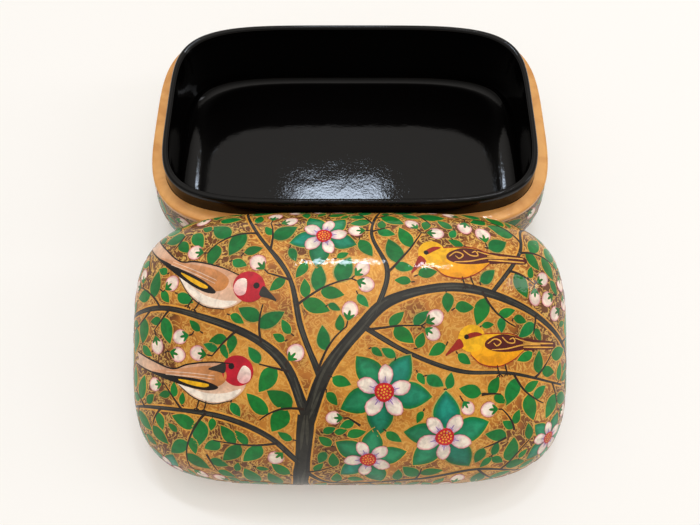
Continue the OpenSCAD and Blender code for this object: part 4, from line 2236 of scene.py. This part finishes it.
@dataclass(frozen=True)
class AreaLamp:
    """A soft lamp, aimed at a point, with its brightness as the light level it shows."""

    name: str
    place: tuple[float, float, float]
    target: tuple[float, float, float]
    size: tuple[float, float]
    level: float
    colour: str = "#FFFFFF"

    def build(self) -> None:
        """Adds the lamp to the scene."""
        data = bpy.data.lights.new(self.name, "AREA")
        data.shape = "RECTANGLE"
        data.size, data.size_y = self.size
        data.energy = self.level * math.pi * self.size[0] * self.size[1]
        data.color = linear(self.colour)[:3]
        lamp = bpy.data.objects.new(self.name, data)
        lamp.location = self.place
        aim = Vector(self.target) - Vector(self.place)
        lamp.rotation_euler = aim.to_track_quat("-Z", "Y").to_euler()
        bpy.context.scene.collection.objects.link(lamp)


def seen_directly(tree: NodeTree) -> NodeSocket:
    """Tells the rays that show the background: camera, glossy and transmission.

    Args:
        tree: The node tree of the floor or the world.

    Returns:
        A socket that is 1 for these rays and 0 for all others.
    """
    path = add_node(tree, "ShaderNodeLightPath").outputs
    seen = add_node(tree, "ShaderNodeMath", {
        0: path["Is Camera Ray"], 1: path["Is Glossy Ray"]}, operation="ADD")
    return add_node(tree, "ShaderNodeMath", {
        0: seen.outputs[0], 1: path["Is Transmission Ray"]}, operation="ADD",
        use_clamp=True).outputs[0]


@dataclass(frozen=True)
class Studio:
    """A white floor, a room's light from above and behind, and the photo's camera."""

    elevation: float = 66.42
    distance: float = 0.30449
    look_at: tuple[float, float, float] = (0.0, -0.07874, 0.040)
    focal_px: float = 631.38
    room: str = "#FFFAF4"
    room_level: float = 0.26
    ceiling_level: float = 1.45
    ceiling_lean: tuple[float, float, float] = (0.0, 0.2, 0.98)
    floor_colour: str = "#FEFCF8"
    floor_shade: float = 0.8
    floor_reach: float = 3.0
    floor_drop: float = 0.0001
    lamps: tuple[AreaLamp, ...] = (
        AreaLamp("window_behind", (-0.096, 2.40, 4.42), (-0.006, -0.02, 0.010),
                 (0.72, 0.27), 46.0, "#DCEBFF"),
        AreaLamp("window_beside", (1.15, 2.05, 4.75), (0.03, -0.09, 0.07),
                 (0.9, 0.18), 45.0, "#F2F7FF"),
        AreaLamp("window_right", (1.6, 0.0, 0.95), (0.08, -0.10, 0.05),
                 (0.25, 0.8), 5.0, "#F6F9FF"))

    def camera(self) -> None:
        """Sets the camera as it stood for the photo."""
        angle = math.radians(self.elevation)
        data = bpy.data.cameras.new("photo_camera")
        data.sensor_width = 36
        data.lens = self.focal_px / 700 * 36
        data.clip_start = 0.01
        camera = bpy.data.objects.new("photo_camera", data)
        back = Vector((0, -math.cos(angle), math.sin(angle)))
        camera.location = Vector(self.look_at) + self.distance * back
        camera.rotation_euler = (QUARTER - angle, 0, 0)
        bpy.context.scene.collection.objects.link(camera)
        bpy.context.scene.camera = camera

    def floor(self) -> None:
        """Lays a floor that is white by itself and still takes the box's shadow."""
        mesh = bpy.data.meshes.new("floor")
        side, z = self.floor_reach, -self.floor_drop
        mesh.from_pydata([(-side, -side, z), (side, -side, z), (side, side, z),
                          (-side, side, z)], [], [(0, 1, 2, 3)])
        material, tree, _ = new_material("white_paper_sweep")
        colour = linear(self.floor_colour)
        shaded = add_node(tree, "ShaderNodeBsdfDiffuse", {
            "Color": tuple(c * self.floor_shade for c in colour[:3]) + (1,)})
        strength = add_node(tree, "ShaderNodeMath", {
            0: seen_directly(tree), 1: 1 - self.floor_shade}, operation="MULTIPLY")
        glow = add_node(tree, "ShaderNodeEmission", {
            "Color": colour, "Strength": strength.outputs[0]})
        both = add_node(tree, "ShaderNodeAddShader", {
            0: shaded.outputs[0], 1: glow.outputs[0]})
        add_node(tree, "ShaderNodeOutputMaterial", {"Surface": both.outputs[0]})
        mesh.materials.append(material)
        floor = bpy.data.objects.new("floor", mesh)
        bpy.context.scene.collection.objects.link(floor)

    def light(self) -> None:
        """Lights the box with a pale room, brighter overhead, and windows behind it."""
        world = bpy.data.worlds.new("room")
        bpy.context.scene.world = world
        world.use_nodes = True
        tree = world.node_tree
        tree.nodes.clear()
        toward = add_node(tree, "ShaderNodeVectorMath", {
            0: add_node(tree, "ShaderNodeTexCoord").outputs["Object"],
            1: self.ceiling_lean}, operation="DOT_PRODUCT")
        above = add_node(tree, "ShaderNodeMath", {
            0: toward.outputs["Value"], 1: 0.0}, operation="MAXIMUM")
        soft = add_node(tree, "ShaderNodeMath", {
            0: above.outputs[0], 1: 3.0}, operation="POWER")
        level = add_node(tree, "ShaderNodeMath", {
            0: soft.outputs[0], 1: self.ceiling_level, 2: self.room_level},
            operation="MULTIPLY_ADD")
        height = add_node(tree, "ShaderNodeSeparateXYZ", {
            0: add_node(tree, "ShaderNodeTexCoord").outputs["Object"]})
        backdrop = add_node(tree, "ShaderNodeMapRange", {
            "Value": height.outputs["Z"], "From Min": 0.1, "From Max": 0.5,
            "To Min": 1 - self.room_level, "To Max": 0.0},
            interpolation_type="SMOOTHSTEP")
        lifted = add_node(tree, "ShaderNodeMath", {
            0: seen_directly(tree), 1: backdrop.outputs["Result"], 2: level.outputs[0]},
            operation="MULTIPLY_ADD")
        glow = add_node(tree, "ShaderNodeBackground", {
            "Color": linear(self.room), "Strength": lifted.outputs[0]})
        add_node(tree, "ShaderNodeOutputWorld", {"Surface": glow.outputs[0]})
        for lamp in self.lamps:
            lamp.build()

    def build(self) -> None:
        """Builds floor, light and camera."""
        bpy.context.scene.view_settings.view_transform = "Standard"
        self.floor()
        self.light()
        self.camera()
        LOG.info("studio: floor, lamps and camera")


def main() -> None:
    """Builds the box, its painting and the studio, and logs the pieces' face counts."""
    logging.basicConfig(level=logging.INFO, format="%(message)s")
    gold = GoldPaint("gold_paint_on_ledge")
    # The wall's ground takes darker, duller copies of the lid's gold colours: painted shade for
    # the wall under the ledge and the leaning lid.
    Base(FORM).build(
        GoldGround("wall_ground_with_painted_shade", bright="#9A7236", middle="#7E5A2A",
                   brown="#4E371C", stroke="#B8924C"),
        gold, BlackLacquer("black_lacquer_tray"),
        BlackLacquer("black_lacquer_board", roughness=0.3))
    Lid(FORM, PLACE).build(GoldGround("painted_lid_ground", place=PLACE),
                           GoldPaint("gold_paint_on_rim"),
                           BlackLacquer("black_lacquer_lining"))
    tempera = Tempera("tempera_paint").build()
    plan_lid().paint("lid", tempera, "painted_lid")
    plan_wall().paint("base", tempera, "painted_base")
    Studio().build()


if __name__ == "__main__":
    main()
